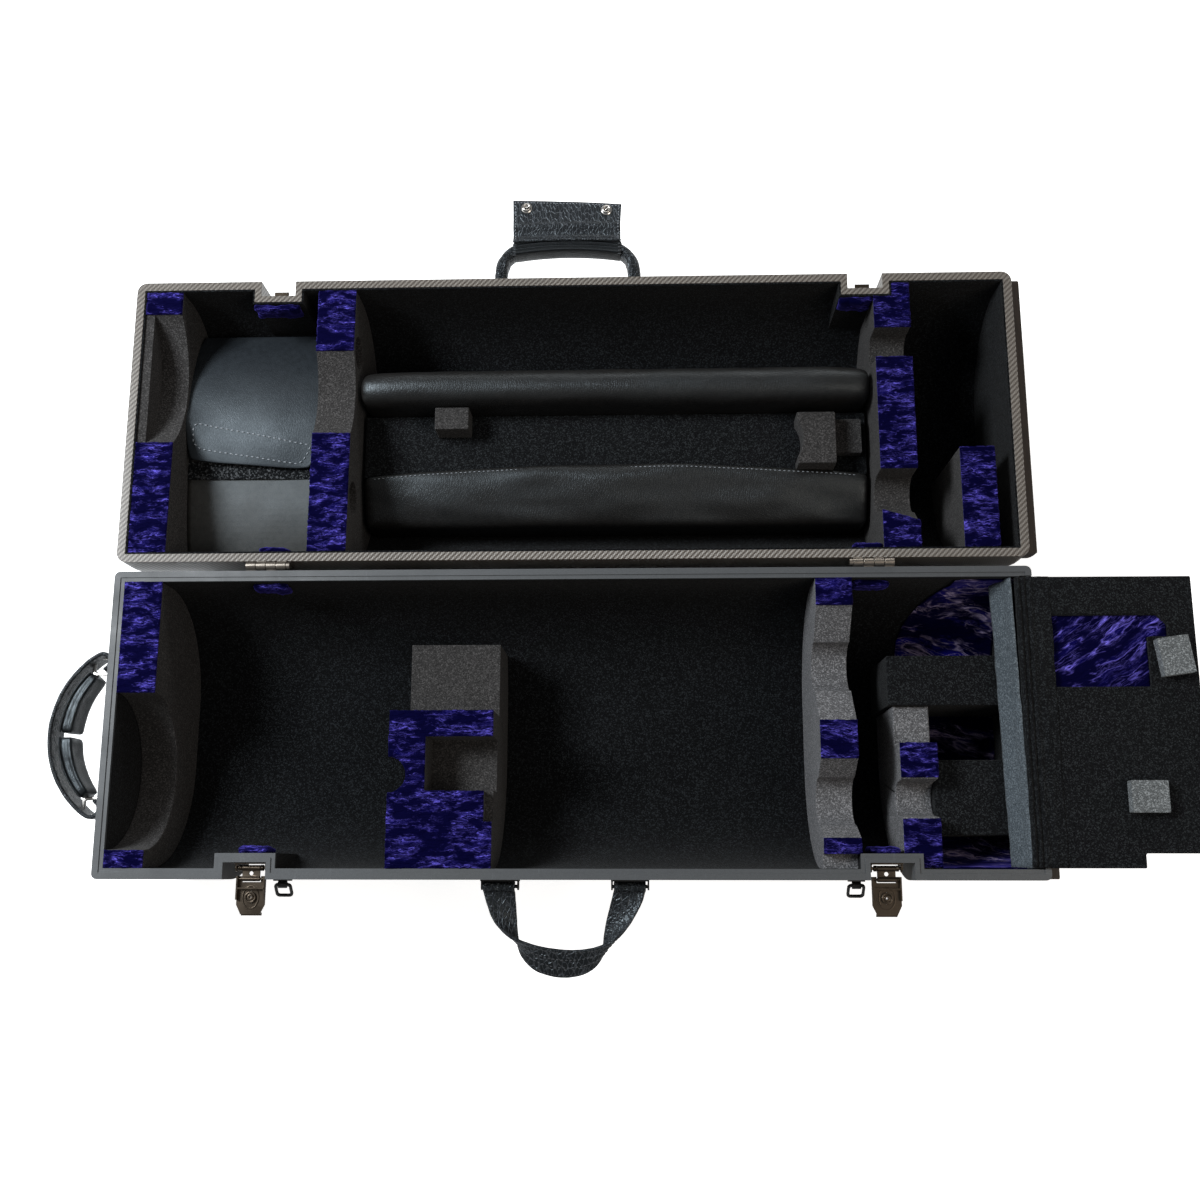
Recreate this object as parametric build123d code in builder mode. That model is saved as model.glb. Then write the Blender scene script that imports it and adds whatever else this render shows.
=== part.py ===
from build123d import *
import os

# Hard case for a family of clarinets, lying open flat. Millimetres.
# X runs along the case, +Y towards the hinge side, +Z up.
# The origin is the middle of the flat bottom of the base half.

os.makedirs("parts", exist_ok=True)

# ---------------------------------------------------------------- the two halves
case_length = 790.0
half_width = 262.2
side_straight = 25.0
bottom_radius = 102.5
half_depth = side_straight + bottom_radius
shell_wall = 7.5
lid_corner_radius = 9.0
base_corner_radius = 5.0
rim_trim_width = 9.0
rim_trim_depth = 4.0
rim_step_width = 3.6
rim_step_depth = 0.9
lining_thickness = 1.4
glue_gap = 0.1
fit_gap = 0.3

# ---------------------------------------------------------------- lid hinge
hinge_gap = 8.2
closed_gap = 0.6
hinge_from_end = 133.0
knuckle_radius = 3.5
knuckle_length = 8.8
knuckle_count = 4
knuckle_gap = 0.5
hinge_pin_radius = 1.5
pin_running_gap = 0.05
pin_head_radius = 2.9
pin_head_length = 3.0
leaf_thickness = 1.1
leaf_depth = 24.0
rivet_radius = 1.8
rivet_height = 0.9

# ---------------------------------------------------------------- latch notches
notch_from_end = 128.0
notch_width = 36.0
notch_depth = 14.0
notch_wall = 6.0
lid_notch_from_end = 130.0
lid_notch_width = 31.0

# ---------------------------------------------------------------- latches
latch_from_end = 132.0
latch_plate_width = 26.0
latch_plate_top = 2.5
latch_plate_height = 30.0
latch_plate_thickness = 1.2
latch_pin_radius = 1.3
latch_pin_out = 4.5
latch_pin_down = 9.0
ear_thickness = 1.2
ear_size = 6.4
link_width = 15.0
link_length = 9.0
link_thickness = 1.4
link_barrel_radius = 2.3
link_hole_radius = 1.7
lever_width = 24.0
lever_length = 28.0
lever_end_width = 17.0
lever_taper = 7.0
lever_thickness = 1.3
lever_drop = 1.4
lever_flange_height = 3.6
lever_flange_length = 17.0
lever_tab_height = 3.0
lever_pin_radius = 1.0
oval_width = 14.0
oval_length = 19.0
oval_ridge = 0.7
lock_radius = 4.6
lock_from_pin = 15.0
lock_rise = 2.0
lock_drop = 2.4
lock_bore_radius = 0.9
spring_wire_radius = 0.4
spring_turns = 3
catch_width = 13.0
catch_plate_height = 13.0
catch_lip_out = 5.2
catch_lip_below = 4.0
catch_lip_thickness = 1.6
claw_from_pin = 7.6
claw_reach = 4.2
claw_thickness = 1.4

# ---------------------------------------------------------------- velvet and foam
velvet_below_rim = 1.0
velvet_thickness = 1.2
block_clearance = 0.2

base_hinge_pad_from_end = 134.0
base_hinge_pad_length = 30.0
base_notch_pad_from_end = 132.0
base_notch_pad_length = 27.0
base_pad_depth = 20.2
lid_hinge_pad_from_end = 136.0
lid_hinge_pad_length = 26.0
lid_left_notch_pad_from_end = 129.0
lid_left_notch_pad_length = 42.0
lid_right_notch_pad_from_end = 138.5
lid_right_notch_pad_length = 29.0
lid_notch_pad_depth = 11.5
lid_pad_depth = 16.0
pad_height = 20.0
pad_thickness = 5.0
pad_round = 2.2

# Base blocks: distances from the hinge side (d) and from the nearer end (x).
end_block_thickness = 33.0
end_rear_pad_d = 106.0
end_front_pad_width = 23.7
bell_axis_d = 172.0
bell_radius = 66.0
bell_axis_depth = 2.0
middle_block_left = 245.0
middle_block_width = 88.0
middle_block_back_d = 122.0
slot_left = 276.0
slot_back_d = 144.0
slot_front_d = 189.5
slot_depth = 36.0
step_left = 326.0
step_front_d = 215.0
step_depth = 12.0
tenon_seat_d = 176.0
tenon_seat_radius = 15.0
middle_foot_back_d = 58.0
middle_foot_depth = 48.0
middle_foot_left = 254.0
cradle_block_end = 152.0
cradle_block_width = 31.0
long_joint_d = 82.0
long_joint_radius = 21.0
long_joint_depth = 27.0
cradle_rear_pad_d = 33.0
cradle_mid_pad_d = 131.0
cradle_mid_pad_front_d = 163.0
cradle_front_pad_d = 228.0
cradle_front_pad_front_d = 241.0
cradle_front_ledge = 13.0
short_joint_d = 197.0
short_joint_radius = 20.0
short_joint_depth = 25.0
joint_block_end = 84.5
joint_block_width = 31.0
joint_block_sink = 11.0
joint_rear_pad_d = 149.0
joint_rear_pad_front_d = 178.0
joint_front_pad_d = 212.0
joint_front_pad_front_d = 252.0
joint_seat_radius = 14.0
joint_seat_depth = 30.0
joint_ledge_depth = 38.0
shelf_depth = 32.0
rear_shelf_back_d = 72.0
rear_shelf_front_d = 115.0
rear_shelf_end = 120.0
front_shelf_back_d = 162.0
front_shelf_front_d = 225.0
pit_velvet_end = 98.0
pit_round = 46.0
well_velvet_below = 10.8

# Lid blocks: distances from the hinge side (d) and from the nearer end (x).
lid_end_pad_d = 110.0
lid_end_pad_far_d = 232.0
lid_saddle_depth = 28.0
lid_saddle_left = 8.0
left_column_from_end = 167.0
left_column_width = 34.0
left_column_pad_d = 117.0
left_column_pad_far_d = 195.0
left_column_dip = 13.0
rear_clarinet_d = 63.0
front_clarinet_d = 201.0
clarinet_radius = 14.6
clarinet_depth = 22.0
socket_depth = 6.0
right_column_end = 91.0
right_column_width = 32.0
right_rear_pad_d = 43.0
right_rear_pad_far_d = 33.0
right_middle_pad_d = 80.0
right_middle_pad_far_d = 183.0
right_front_pad_d = 211.0
bell_block_end = 24.0
bell_block_width = 30.0
bell_block_far_d = 99.0
leather_bed_back_d = 45.0
leather_bed_front_d = 90.0
leather_bed_low = 56.0
leather_bed_high = 34.0
foam_bed_depth = 50.0
divider_back_d = 149.0
divider_width = 34.0
divider_top = 9.0
tray_gap = 3.0
wedge_from_left = 272.0
wedge_width = 31.0
wedge_back_d = 128.0
rest_block_from_right = 157.0
rest_block_width = 34.0
rest_block_back_d = 93.0
rest_block_front_d = 141.0
rest_block_depth = 25.0
rest_hollow_radius = 32.0
bridge_width = 25.0
bridge_back_d = 107.0
bridge_front_d = 139.0
bridge_depth = 40.0

# ---------------------------------------------------------------- leather pouch in the lid
pouch_side_gap = 0.3
pouch_sheet = 2.4
pouch_hinge_from_front = 28.2
pouch_hinge_depth = 58.0
pouch_flap_end_d = 96.0
pouch_flap_end_depth = 36.0
pouch_bulge = 13.0
pouch_corner = 14.0
pouch_panel_back_d = 13.0
pouch_panel_back_depth = 60.0
pouch_panel_front_d = 108.0
pouch_panel_front_depth = 44.0
pouch_panel_bulge = 5.0
loop_strip_d = 88.0
loop_strip_width = 17.0
loop_strip_thickness = 1.0

# ---------------------------------------------------------------- compartment flap
flap_thickness = 8.0
flap_below_rim = 0.2
flap_back_d = 9.6
flap_front_margin = 9.8
flap_start_out = 9.0
flap_length = 124.0
flap_notch_length = 56.0
flap_notch_width = 12.0
flap_hinge_in = 6.0
flap_hinge_depth = 5.0
bead_radius = 1.5
cloth_thickness = 1.2
cloth_below_rim = 0.3
flap_recess_start = 4.0
flap_recess_length = 97.0
flap_recess_back_d = 43.0
flap_recess_front_d = 104.0
flap_recess_step_d = 61.5
flap_recess_step = 17.0
flap_recess_chamfer = 8.0
flap_recess_depth = 5.0
chip_height = 9.0
rear_chip_start = 90.0
rear_chip_size = 26.0
rear_chip_d = 79.0
rear_chip_width = 32.0
rear_chip_tilt = 8.0
front_chip_start = 57.0
front_chip_size = 30.0
front_chip_d = 195.0
front_chip_width = 26.0

# ---------------------------------------------------------------- end boards
foot_board_thickness = 12.0
foot_board_inset = 4.0
foot_board_forward = 3.0
foot_board_top = 18.0
foot_board_round = 2.0

# ---------------------------------------------------------------- handles on the fronts
bracket_width_spare = 1.2
bracket_height = 16.0
bracket_thickness = 1.2
bracket_lug = 1.4
handle_pin_radius = 1.5
handle_pin_out = 5.4
base_handle_depth = 18.0
base_handle_middle = -1.5
strap_thickness = 2.6
strap_outer_span = 135.0
strap_inner_span = 82.0
strap_upper_reach = 47.0
strap_lower_reach = 69.0
strap_shoulder_reach = 23.5
strap_lower_knee_reach = 42.0
strap_lower_knee_span = 79.0
strap_shoulder_span = 114.0
strap_drop = 12.0
strap_root_drop = 5.0
strap_loop_radius = 3.4
lid_handle_depth = 22.0
lid_handle_middle = -3.0
lid_handle_span = 134.0
lid_handle_reach = 44.0
lid_handle_band = 12.0
lid_handle_height = 24.0
lid_handle_corner = 30.0
lid_loop_radius = 4.0
lid_handle_flare = 15.0
wrap_length = 100.0
wrap_reach = 42.0
wrap_thickness = 2.4
wrap_overlap = 4.0
wrap_bead_radius = 1.5
stud_radius = 4.2
stud_height = 2.6
stud_cap_radius = 3.0
stud_from_side = 13.0
stud_from_edge = 10.0

# ---------------------------------------------------------------- side handle and strap rings
side_handle_d = 139.0
side_handle_depth = 40.0
side_handle_height = 28.0
side_handle_radius = 87.0
side_handle_reach = 60.0
side_handle_angle = 57.0
side_handle_band = 9.0
side_wrap_thickness = 12.0
side_wrap_angle = 41.0
side_wrap_split = 5.0
side_handle_bearing = 180.0
side_ring_wire = 3.2
side_ring_length = 26.0
side_ring_width = 18.0
side_ring_d = 62.0
side_chape_radius = 4.0
side_plate_thickness = 1.2
strap_ring_inward = 22.0
strap_ring_depth = 26.0
strap_ring_wire = 2.4
strap_ring_width = 15.0
strap_ring_length = 15.0
strap_chape_radius = 3.0
chape_spare = 3.0

# ---------------------------------------------------------------- worked-out places
rim = half_depth
left_end = -case_length / 2
right_end = case_length / 2
hinge_from_middle = case_length / 2 - hinge_from_end
flap_front_d = half_width - flap_front_margin
pouch_hinge_d = half_width - pouch_hinge_from_front
lid_middle = half_width + hinge_gap
hinge_y = half_width / 2 + hinge_gap / 2
hinge_z = rim + closed_gap / 2
lining_inset = shell_wall + glue_gap + lining_thickness
block_inset = lining_inset + block_clearance
foam_top = rim - velvet_below_rim - velvet_thickness
velvet_top = rim - velvet_below_rim
base_front = -half_width / 2
lid_front = lid_middle + half_width / 2


def base_y(from_hinge_side):
    """Y of a place in the base, measured from its hinge side."""
    return half_width / 2 - from_hinge_side


def lid_y(from_hinge_side):
    """Y of a place in the lid, measured from its hinge side."""
    return lid_middle - half_width / 2 + from_hinge_side


def span_box(x_low, x_high, y_a, y_b, z_low, z_high, mode=Mode.ADD):
    """Box between two opposite corners."""
    size_x = x_high - x_low
    size_y = abs(y_b - y_a)
    size_z = z_high - z_low
    with Locations(((x_low + x_high) / 2, (y_a + y_b) / 2, (z_low + z_high) / 2)):
        return Box(size_x, size_y, size_z, mode=mode)


def rod(radius, length, centre, axis="X", mode=Mode.ADD):
    """Cylinder through a centre point, along X, Y or Z."""
    turns = {"X": (0, 90, 0), "Y": (90, 0, 0), "Z": (0, 0, 0)}
    with Locations(centre):
        return Cylinder(radius, length, rotation=turns[axis], mode=mode)


def section(at_x, centre_y, inset):
    """Cross-section of a half: straight sides over large bottom corners."""
    side = half_width / 2 - inset
    radius = bottom_radius - inset
    with BuildSketch(Plane.YZ.offset(at_x)) as profile:
        with BuildLine():
            Polyline(
                (centre_y - side, bottom_radius),
                (centre_y - side, rim),
                (centre_y + side, rim),
                (centre_y + side, bottom_radius),
            )
            CenterArc((centre_y + side - radius, bottom_radius), radius, -90, 90)
            Line((centre_y + side - radius, inset), (centre_y - side + radius, inset))
            CenterArc((centre_y - side + radius, bottom_radius), radius, 180, 90)
        make_face()
    return profile.sketch


def cut_notches(front_y, inward, grown):
    """Upright latch channels at both ends of the front, grown by a wall thickness."""
    from_end = notch_from_end if inward > 0 else lid_notch_from_end
    width = notch_width if inward > 0 else lid_notch_width
    for side in (-1, 1):
        middle = side * (case_length / 2 - from_end)
        reach = notch_depth + grown
        span_box(
            middle - width / 2 - grown,
            middle + width / 2 + grown,
            front_y - inward * notch_depth,
            front_y + inward * reach,
            -1,
            rim + 1,
            mode=Mode.SUBTRACT,
        )


def room(centre_y, front_y, inward, inset):
    """Inside space of a half, narrowed by an inset, with the notch housings left out."""
    with BuildPart() as space:
        extrude(section(left_end + inset, centre_y, inset), amount=case_length - 2 * inset)
        cut_notches(front_y, inward, notch_wall + inset - shell_wall)
    return space.part


def half_shell(centre_y, front_y, inward, corner_radius):
    """Moulded half: hollow, with rounded ends and two latch channels in its front."""
    with BuildPart() as shell:
        extrude(section(left_end, centre_y, 0), amount=case_length)
        for end_face in (shell.faces().sort_by(Axis.X)[0], shell.faces().sort_by(Axis.X)[-1]):
            ends = end_face.edges().filter_by(lambda edge: edge.center().Z < rim - 1)
            fillet(ends, radius=corner_radius)
        cut_notches(front_y, inward, 0)
        add(room(centre_y, front_y, inward, shell_wall), mode=Mode.SUBTRACT)
    return shell.part


def liner(centre_y, front_y, inward):
    """Cloth lining glued inside a half."""
    with BuildPart() as lining:
        add(room(centre_y, front_y, inward, shell_wall + glue_gap))
        add(room(centre_y, front_y, inward, lining_inset), mode=Mode.SUBTRACT)
    return lining.part


def cut_cradle(x_low, x_high, axis_y, radius, depth, top_a, top_b):
    """Cut a cradle across a block: round bottom, flared up to two edges at the rim."""
    axis_z = rim - depth
    with BuildSketch(Plane.YZ.offset(x_low - 1)) as profile:
        with BuildLine():
            CenterArc((axis_y, axis_z), radius, 180, 180)
            Polyline(
                (axis_y + radius, axis_z),
                (max(top_a, top_b), foam_top),
                (max(top_a, top_b), rim + 1),
                (min(top_a, top_b), rim + 1),
                (min(top_a, top_b), foam_top),
                (axis_y - radius, axis_z),
            )
        make_face()
    extrude(profile.sketch, amount=x_high - x_low + 2, mode=Mode.SUBTRACT)


def keep(part):
    """Trim what has been made so far to a given room."""
    add(part, mode=Mode.INTERSECT)


base_room = room(0, base_front, 1, block_inset)
lid_room = room(lid_middle, lid_front, -1, block_inset)
room_left = left_end + block_inset
room_right = right_end - block_inset
room_back_d = block_inset
room_front_d = half_width - block_inset

# ================================================================ base half
hinge_axis_x = right_end - flap_hinge_in
pocket_in = hinge_axis_x + bead_radius + fit_gap
pocket_back = base_y(flap_back_d - 1)
pocket_front = base_y(flap_front_d + 1)
pocket_floor = rim - 2 * flap_hinge_depth - fit_gap
rebate_floor = rim - cloth_below_rim - cloth_thickness - glue_gap


def cut_flap_pocket():
    """Room in the right end wall for the flap's cloth hinge to lie in and to turn in."""
    span_box(
        right_end - rim_trim_width - 1, pocket_in, pocket_front, pocket_back,
        pocket_floor, rim + 1, mode=Mode.SUBTRACT,
    )
    span_box(
        pocket_in - 1, right_end + 1, pocket_front, pocket_back,
        rebate_floor, rim + 1, mode=Mode.SUBTRACT,
    )


trim_floor = rim - rim_trim_depth
with BuildPart() as base_shell:
    add(half_shell(0, base_front, 1, base_corner_radius))
    span_box(
        left_end - 1, right_end + 1, base_front - 1, -base_front + 1,
        trim_floor, rim + 1, mode=Mode.SUBTRACT,
    )
    cut_flap_pocket()
base_shell.part.label = "base_shell"
export_step(base_shell.part, "parts/base_shell.step")

with BuildPart() as base_lining:
    add(liner(0, base_front, 1))
    span_box(
        left_end, right_end, base_front, -base_front,
        trim_floor - glue_gap, rim + 1, mode=Mode.SUBTRACT,
    )
    cut_flap_pocket()
base_lining.part.label = "base_lining"
export_step(base_lining.part, "parts/base_lining.step")

with BuildPart() as trim_step:
    add(room(0, base_front, 1, rim_trim_width - rim_step_width))
    span_box(
        left_end, right_end, base_front, -base_front,
        -1, rim - rim_step_depth, mode=Mode.SUBTRACT,
    )

with BuildPart() as base_rim_trim:
    extrude(section(left_end, 0, 0), amount=case_length)
    upright = base_rim_trim.edges().filter_by(Axis.Z)
    fillet(upright, radius=base_corner_radius)
    cut_notches(base_front, 1, 0)
    add(room(0, base_front, 1, rim_trim_width), mode=Mode.SUBTRACT)
    span_box(
        left_end - 1, right_end + 1, base_front - 1, -base_front + 1,
        -1, trim_floor, mode=Mode.SUBTRACT,
    )
    add(trim_step.part, mode=Mode.SUBTRACT)
    cut_flap_pocket()
base_rim_trim.part.label = "base_rim_trim"
export_step(base_rim_trim.part, "parts/base_rim_trim.step")

# ---- end block with the seat of the large bell
end_block_right = room_left + end_block_thickness
with BuildPart() as base_end_block:
    span_box(room_left, end_block_right, base_front, -base_front, 0, foam_top)
    keep(base_room)
    rod(
        bell_radius, 2 * end_block_thickness + 20,
        (end_block_right, base_y(bell_axis_d), rim - bell_axis_depth), mode=Mode.SUBTRACT,
    )
base_end_block.part.label = "base_end_block"
export_step(base_end_block.part, "parts/base_end_block.step")


def velvet_slab(part_room, sink=0.0):
    """Everything of a room that lies in the velvet's thickness, at the velvet's height."""
    with BuildPart() as slab:
        add(part_room)
        span_box(
            left_end, right_end, base_front, lid_front,
            velvet_top - sink - velvet_thickness, velvet_top - sink, mode=Mode.INTERSECT,
        )
    return slab.part


base_velvet_layer = velvet_slab(base_room)
base_sunk_layer = velvet_slab(base_room, joint_block_sink)
lid_velvet_layer = velvet_slab(lid_room)

with BuildPart() as base_end_velvet:
    span_box(room_left, end_block_right, base_y(end_rear_pad_d), base_y(0), 0, rim)
    span_box(
        room_left, end_block_right,
        base_y(half_width), base_y(half_width - end_front_pad_width), 0, rim,
    )
    keep(base_velvet_layer)

# ---- middle block with the key slot, and its low foot under the long joint
middle_left = left_end + middle_block_left
middle_right = middle_left + middle_block_width


# plan of the middle block: a C round the key slot, with a seat for the bell's tenon
with BuildSketch(Plane.XY) as middle_plan:
    with BuildLine():
        Polyline(
            (middle_left, base_y(middle_block_back_d)),
            (middle_right, base_y(middle_block_back_d)),
            (middle_right, base_y(slot_back_d)),
            (left_end + slot_left, base_y(slot_back_d)),
            (left_end + slot_left, base_y(slot_front_d)),
            (left_end + step_left, base_y(slot_front_d)),
            (left_end + step_left, base_y(step_front_d)),
            (middle_right, base_y(step_front_d)),
            (middle_right, base_y(room_front_d)),
            (middle_left, base_y(room_front_d)),
            close=True,
        )
    make_face()
    with Locations((middle_left, base_y(tenon_seat_d))):
        Circle(tenon_seat_radius, mode=Mode.SUBTRACT)

with BuildPart() as base_middle_block:
    extrude(middle_plan.sketch, amount=foam_top)
    span_box(
        left_end + slot_left - 1, middle_right, base_y(slot_front_d + 1), base_y(slot_back_d - 1),
        0, rim - slot_depth,
    )
    span_box(
        left_end + step_left - 1, middle_right, base_y(step_front_d + 1), base_y(slot_front_d - 1),
        0, rim - step_depth,
    )
    span_box(
        left_end + middle_foot_left, middle_right,
        base_y(middle_block_back_d + 1), base_y(middle_foot_back_d), 0, rim - middle_foot_depth,
    )
    keep(base_room)
base_middle_block.part.label = "base_middle_block"
export_step(base_middle_block.part, "parts/base_middle_block.step")

with BuildPart() as base_middle_velvet:
    extrude(middle_plan.sketch, amount=rim)
    keep(base_velvet_layer)

# ---- cradle block for the two joints
cradle_left = right_end - cradle_block_end - cradle_block_width
cradle_right = right_end - cradle_block_end
with BuildPart() as base_cradle_block:
    span_box(cradle_left, cradle_right, base_front, -base_front, 0, foam_top)
    keep(base_room)
    cut_cradle(
        cradle_left, cradle_right, base_y(long_joint_d), long_joint_radius, long_joint_depth,
        base_y(cradle_rear_pad_d), base_y(cradle_mid_pad_d),
    )
    cut_cradle(
        cradle_left, cradle_right, base_y(short_joint_d), short_joint_radius, short_joint_depth,
        base_y(cradle_mid_pad_front_d), base_y(cradle_front_pad_d),
    )
    span_box(
        cradle_left - 1, cradle_right + 1, base_y(half_width), base_y(cradle_front_pad_front_d),
        rim - cradle_front_ledge, rim, mode=Mode.SUBTRACT,
    )
base_cradle_block.part.label = "base_cradle_block"
export_step(base_cradle_block.part, "parts/base_cradle_block.step")

with BuildPart() as base_cradle_velvet:
    span_box(cradle_left, cradle_right, base_y(cradle_rear_pad_d), base_y(0), 0, rim)
    span_box(
        cradle_left, cradle_right,
        base_y(cradle_mid_pad_front_d), base_y(cradle_mid_pad_d), 0, rim,
    )
    span_box(
        cradle_left, cradle_right,
        base_y(cradle_front_pad_front_d), base_y(cradle_front_pad_d), 0, rim,
    )
    keep(base_velvet_layer)

# ---- joint block, lower than the rest so that the flap folds over it
joint_left = right_end - joint_block_end - joint_block_width
joint_right = right_end - joint_block_end
joint_top = foam_top - joint_block_sink
with BuildPart() as base_joint_block:
    span_box(
        joint_left, joint_right, base_y(room_front_d),
        base_y(rear_shelf_front_d + fit_gap), 0, joint_top,
    )
    keep(base_room)
    span_box(
        joint_left - 1, joint_right + 1, base_y(joint_rear_pad_d), base_y(rear_shelf_front_d),
        rim - joint_ledge_depth, rim, mode=Mode.SUBTRACT,
    )
    cut_cradle(
        joint_left, joint_right, base_y((joint_rear_pad_front_d + joint_front_pad_d) / 2),
        joint_seat_radius, joint_seat_depth,
        base_y(joint_rear_pad_front_d), base_y(joint_front_pad_d),
    )
base_joint_block.part.label = "base_joint_block"
export_step(base_joint_block.part, "parts/base_joint_block.step")

with BuildPart() as base_joint_velvet:
    span_box(
        joint_left, joint_right,
        base_y(joint_rear_pad_front_d), base_y(joint_rear_pad_d), 0, rim,
    )
    span_box(
        joint_left, joint_right,
        base_y(joint_front_pad_front_d), base_y(joint_front_pad_d), 0, rim,
    )
    keep(base_sunk_layer)

# ---- two velour-covered shelves of the small compartment
with BuildPart() as base_shelves:
    span_box(
        right_end - rear_shelf_end, room_right, base_y(rear_shelf_front_d),
        base_y(rear_shelf_back_d), 0, rim - shelf_depth,
    )
    span_box(
        joint_right + fit_gap, room_right, base_y(front_shelf_front_d),
        base_y(front_shelf_back_d), 0, rim - shelf_depth,
    )
    keep(base_room)
base_shelves.part.label = "base_shelves"
export_step(base_shelves.part, "parts/base_shelves.step")

# ---- velvet on the floor and walls of the three small wells
# velvet on the tops of all the blocks of this half
with BuildPart() as base_block_velvet:
    add(base_end_velvet.part)
    add(base_middle_velvet.part)
    add(base_cradle_velvet.part)
    add(base_joint_velvet.part)
base_block_velvet.part.label = "base_block_velvet"
export_step(base_block_velvet.part, "parts/base_block_velvet.step")

with BuildPart() as base_well_velvet:
    with BuildSketch(Plane.XY):
        with BuildLine():
            well_left = right_end - pit_velvet_end
            Polyline(
                (well_left, base_y(room_back_d) - pit_round),
                (well_left, base_y(rear_shelf_back_d - fit_gap)),
                (room_right, base_y(rear_shelf_back_d - fit_gap)),
                (room_right, base_y(room_back_d)),
                (well_left + pit_round, base_y(room_back_d)),
            )
            RadiusArc(
                (well_left, base_y(room_back_d) - pit_round),
                (well_left + pit_round, base_y(room_back_d)),
                pit_round,
            )
        make_face()
    extrude(amount=rim - well_velvet_below)
    span_box(
        joint_right + fit_gap, room_right, base_y(front_shelf_back_d - fit_gap),
        base_y(rear_shelf_front_d + fit_gap), 0, rim - shelf_depth,
    )
    span_box(
        joint_right + fit_gap, room_right, base_y(room_front_d),
        base_y(front_shelf_front_d + fit_gap), 0, rim - well_velvet_below,
    )
    keep(base_room)
    extrude(
        section(left_end, 0, block_inset + velvet_thickness),
        amount=case_length, mode=Mode.SUBTRACT,
    )
base_well_velvet.part.label = "base_well_velvet"
export_step(base_well_velvet.part, "parts/base_well_velvet.step")


# ---- velvet pads over the hinge rivets and behind the latch notches
def velvet_pads(middles, length, wall_y, way, depth):
    """Soft velvet pads on a long wall, one at each place along the case."""
    for middle_x in middles:
        with Locations((middle_x, wall_y + way * pad_thickness / 2, rim - depth)):
            Box(length, pad_thickness, pad_height)


base_hinge_face = half_width / 2 - lining_inset - glue_gap
base_notch_face = base_front + notch_depth + notch_wall + lining_inset - shell_wall + glue_gap
lid_hinge_face = lid_middle - half_width / 2 + lining_inset + glue_gap
lid_notch_face = lid_front - notch_depth - notch_wall - lining_inset + shell_wall - glue_gap
with BuildPart() as base_rivet_covers:
    hinge_places = (left_end + base_hinge_pad_from_end, right_end - base_hinge_pad_from_end)
    notch_places = (left_end + base_notch_pad_from_end, right_end - base_notch_pad_from_end)
    velvet_pads(hinge_places, base_hinge_pad_length, base_hinge_face, -1, base_pad_depth)
    velvet_pads(notch_places, base_notch_pad_length, base_notch_face, 1, base_pad_depth)
    fillet(base_rivet_covers.edges(), radius=pad_round)
base_rivet_covers.part.label = "base_rivet_covers"
export_step(base_rivet_covers.part, "parts/base_rivet_covers.step")


def foot_board(centre_y):
    """Board over the right end, on which the closed case can stand upright."""
    with BuildPart() as board:
        extrude(
            section(right_end + glue_gap, centre_y, foot_board_inset),
            amount=foot_board_thickness,
        )
        span_box(
            right_end, right_end + 2 * foot_board_thickness,
            centre_y - half_width, centre_y + half_width,
            rim - foot_board_top, rim + 1, mode=Mode.SUBTRACT,
        )
        fillet(board.faces().sort_by(Axis.X)[-1].edges(), radius=foot_board_round)
    return board.part


with BuildPart() as base_foot_board:
    add(foot_board(-foot_board_forward))
base_foot_board.part.label = "base_foot_board"
export_step(base_foot_board.part, "parts/base_foot_board.step")

# ---------------------------------------------------------------- lid hinges
hinge_length = knuckle_count * knuckle_length
leaf_top = hinge_z - knuckle_radius - fit_gap


def hinge_leaf(side, wall_y, away, first):
    """Leaf on a wall's outer face, with every second knuckle rolled round the pin."""
    start = side * hinge_from_middle - hinge_length / 2
    outer = wall_y + away * leaf_thickness
    with BuildPart() as leaf:
        span_box(
            start, start + hinge_length, wall_y + away * glue_gap, outer,
            rim - leaf_depth, leaf_top,
        )
        for number in range(knuckle_count):
            if number % 2 == first:
                low = start + number * knuckle_length + knuckle_gap / 2
                high = low + knuckle_length - knuckle_gap
                span_box(low, high, wall_y + away * glue_gap, outer, leaf_top - 1, hinge_z)
                rod(knuckle_radius, high - low, ((low + high) / 2, hinge_y, hinge_z))
        rod(
            hinge_pin_radius + pin_running_gap, hinge_length + 2,
            (start + hinge_length / 2, hinge_y, hinge_z), mode=Mode.SUBTRACT,
        )
    return leaf.part


with BuildPart() as base_hinge_leaves:
    add(hinge_leaf(-1, half_width / 2, 1, 0))
    add(hinge_leaf(1, half_width / 2, 1, 1))
base_hinge_leaves.part.label = "base_hinge_leaves"
export_step(base_hinge_leaves.part, "parts/base_hinge_leaves.step")

with BuildPart() as lid_hinge_leaves:
    add(hinge_leaf(-1, half_width / 2 + hinge_gap, -1, 1))
    add(hinge_leaf(1, half_width / 2 + hinge_gap, -1, 0))
lid_hinge_leaves.part.label = "lid_hinge_leaves"
export_step(lid_hinge_leaves.part, "parts/lid_hinge_leaves.step")

with BuildPart() as hinge_pins:
    for side in (-1, 1):
        middle = side * hinge_from_middle
        rod(hinge_pin_radius, hinge_length, (middle, hinge_y, hinge_z))
        head_middle = middle - side * (hinge_length / 2 + pin_head_length / 2)
        rod(pin_head_radius, pin_head_length, (head_middle, hinge_y, hinge_z))
hinge_pins.part.label = "hinge_pins"
export_step(hinge_pins.part, "parts/hinge_pins.step")


def hinge_rivets(wall_y, away):
    """Three low rivet heads on each leaf."""
    face = wall_y + away * (leaf_thickness + rivet_height / 2)
    for side in (-1, 1):
        for shift in (-1, 0, 1):
            place = (side * hinge_from_middle + shift * hinge_length / 3, face, rim - 0.7 * leaf_depth)
            rod(rivet_radius, rivet_height, place, "Y")


# ---------------------------------------------------------------- latches
notch_back = base_front + notch_depth
pin_y = notch_back - latch_pin_out
pin_z = rim - latch_pin_down
press_y = pin_y - link_length


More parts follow.
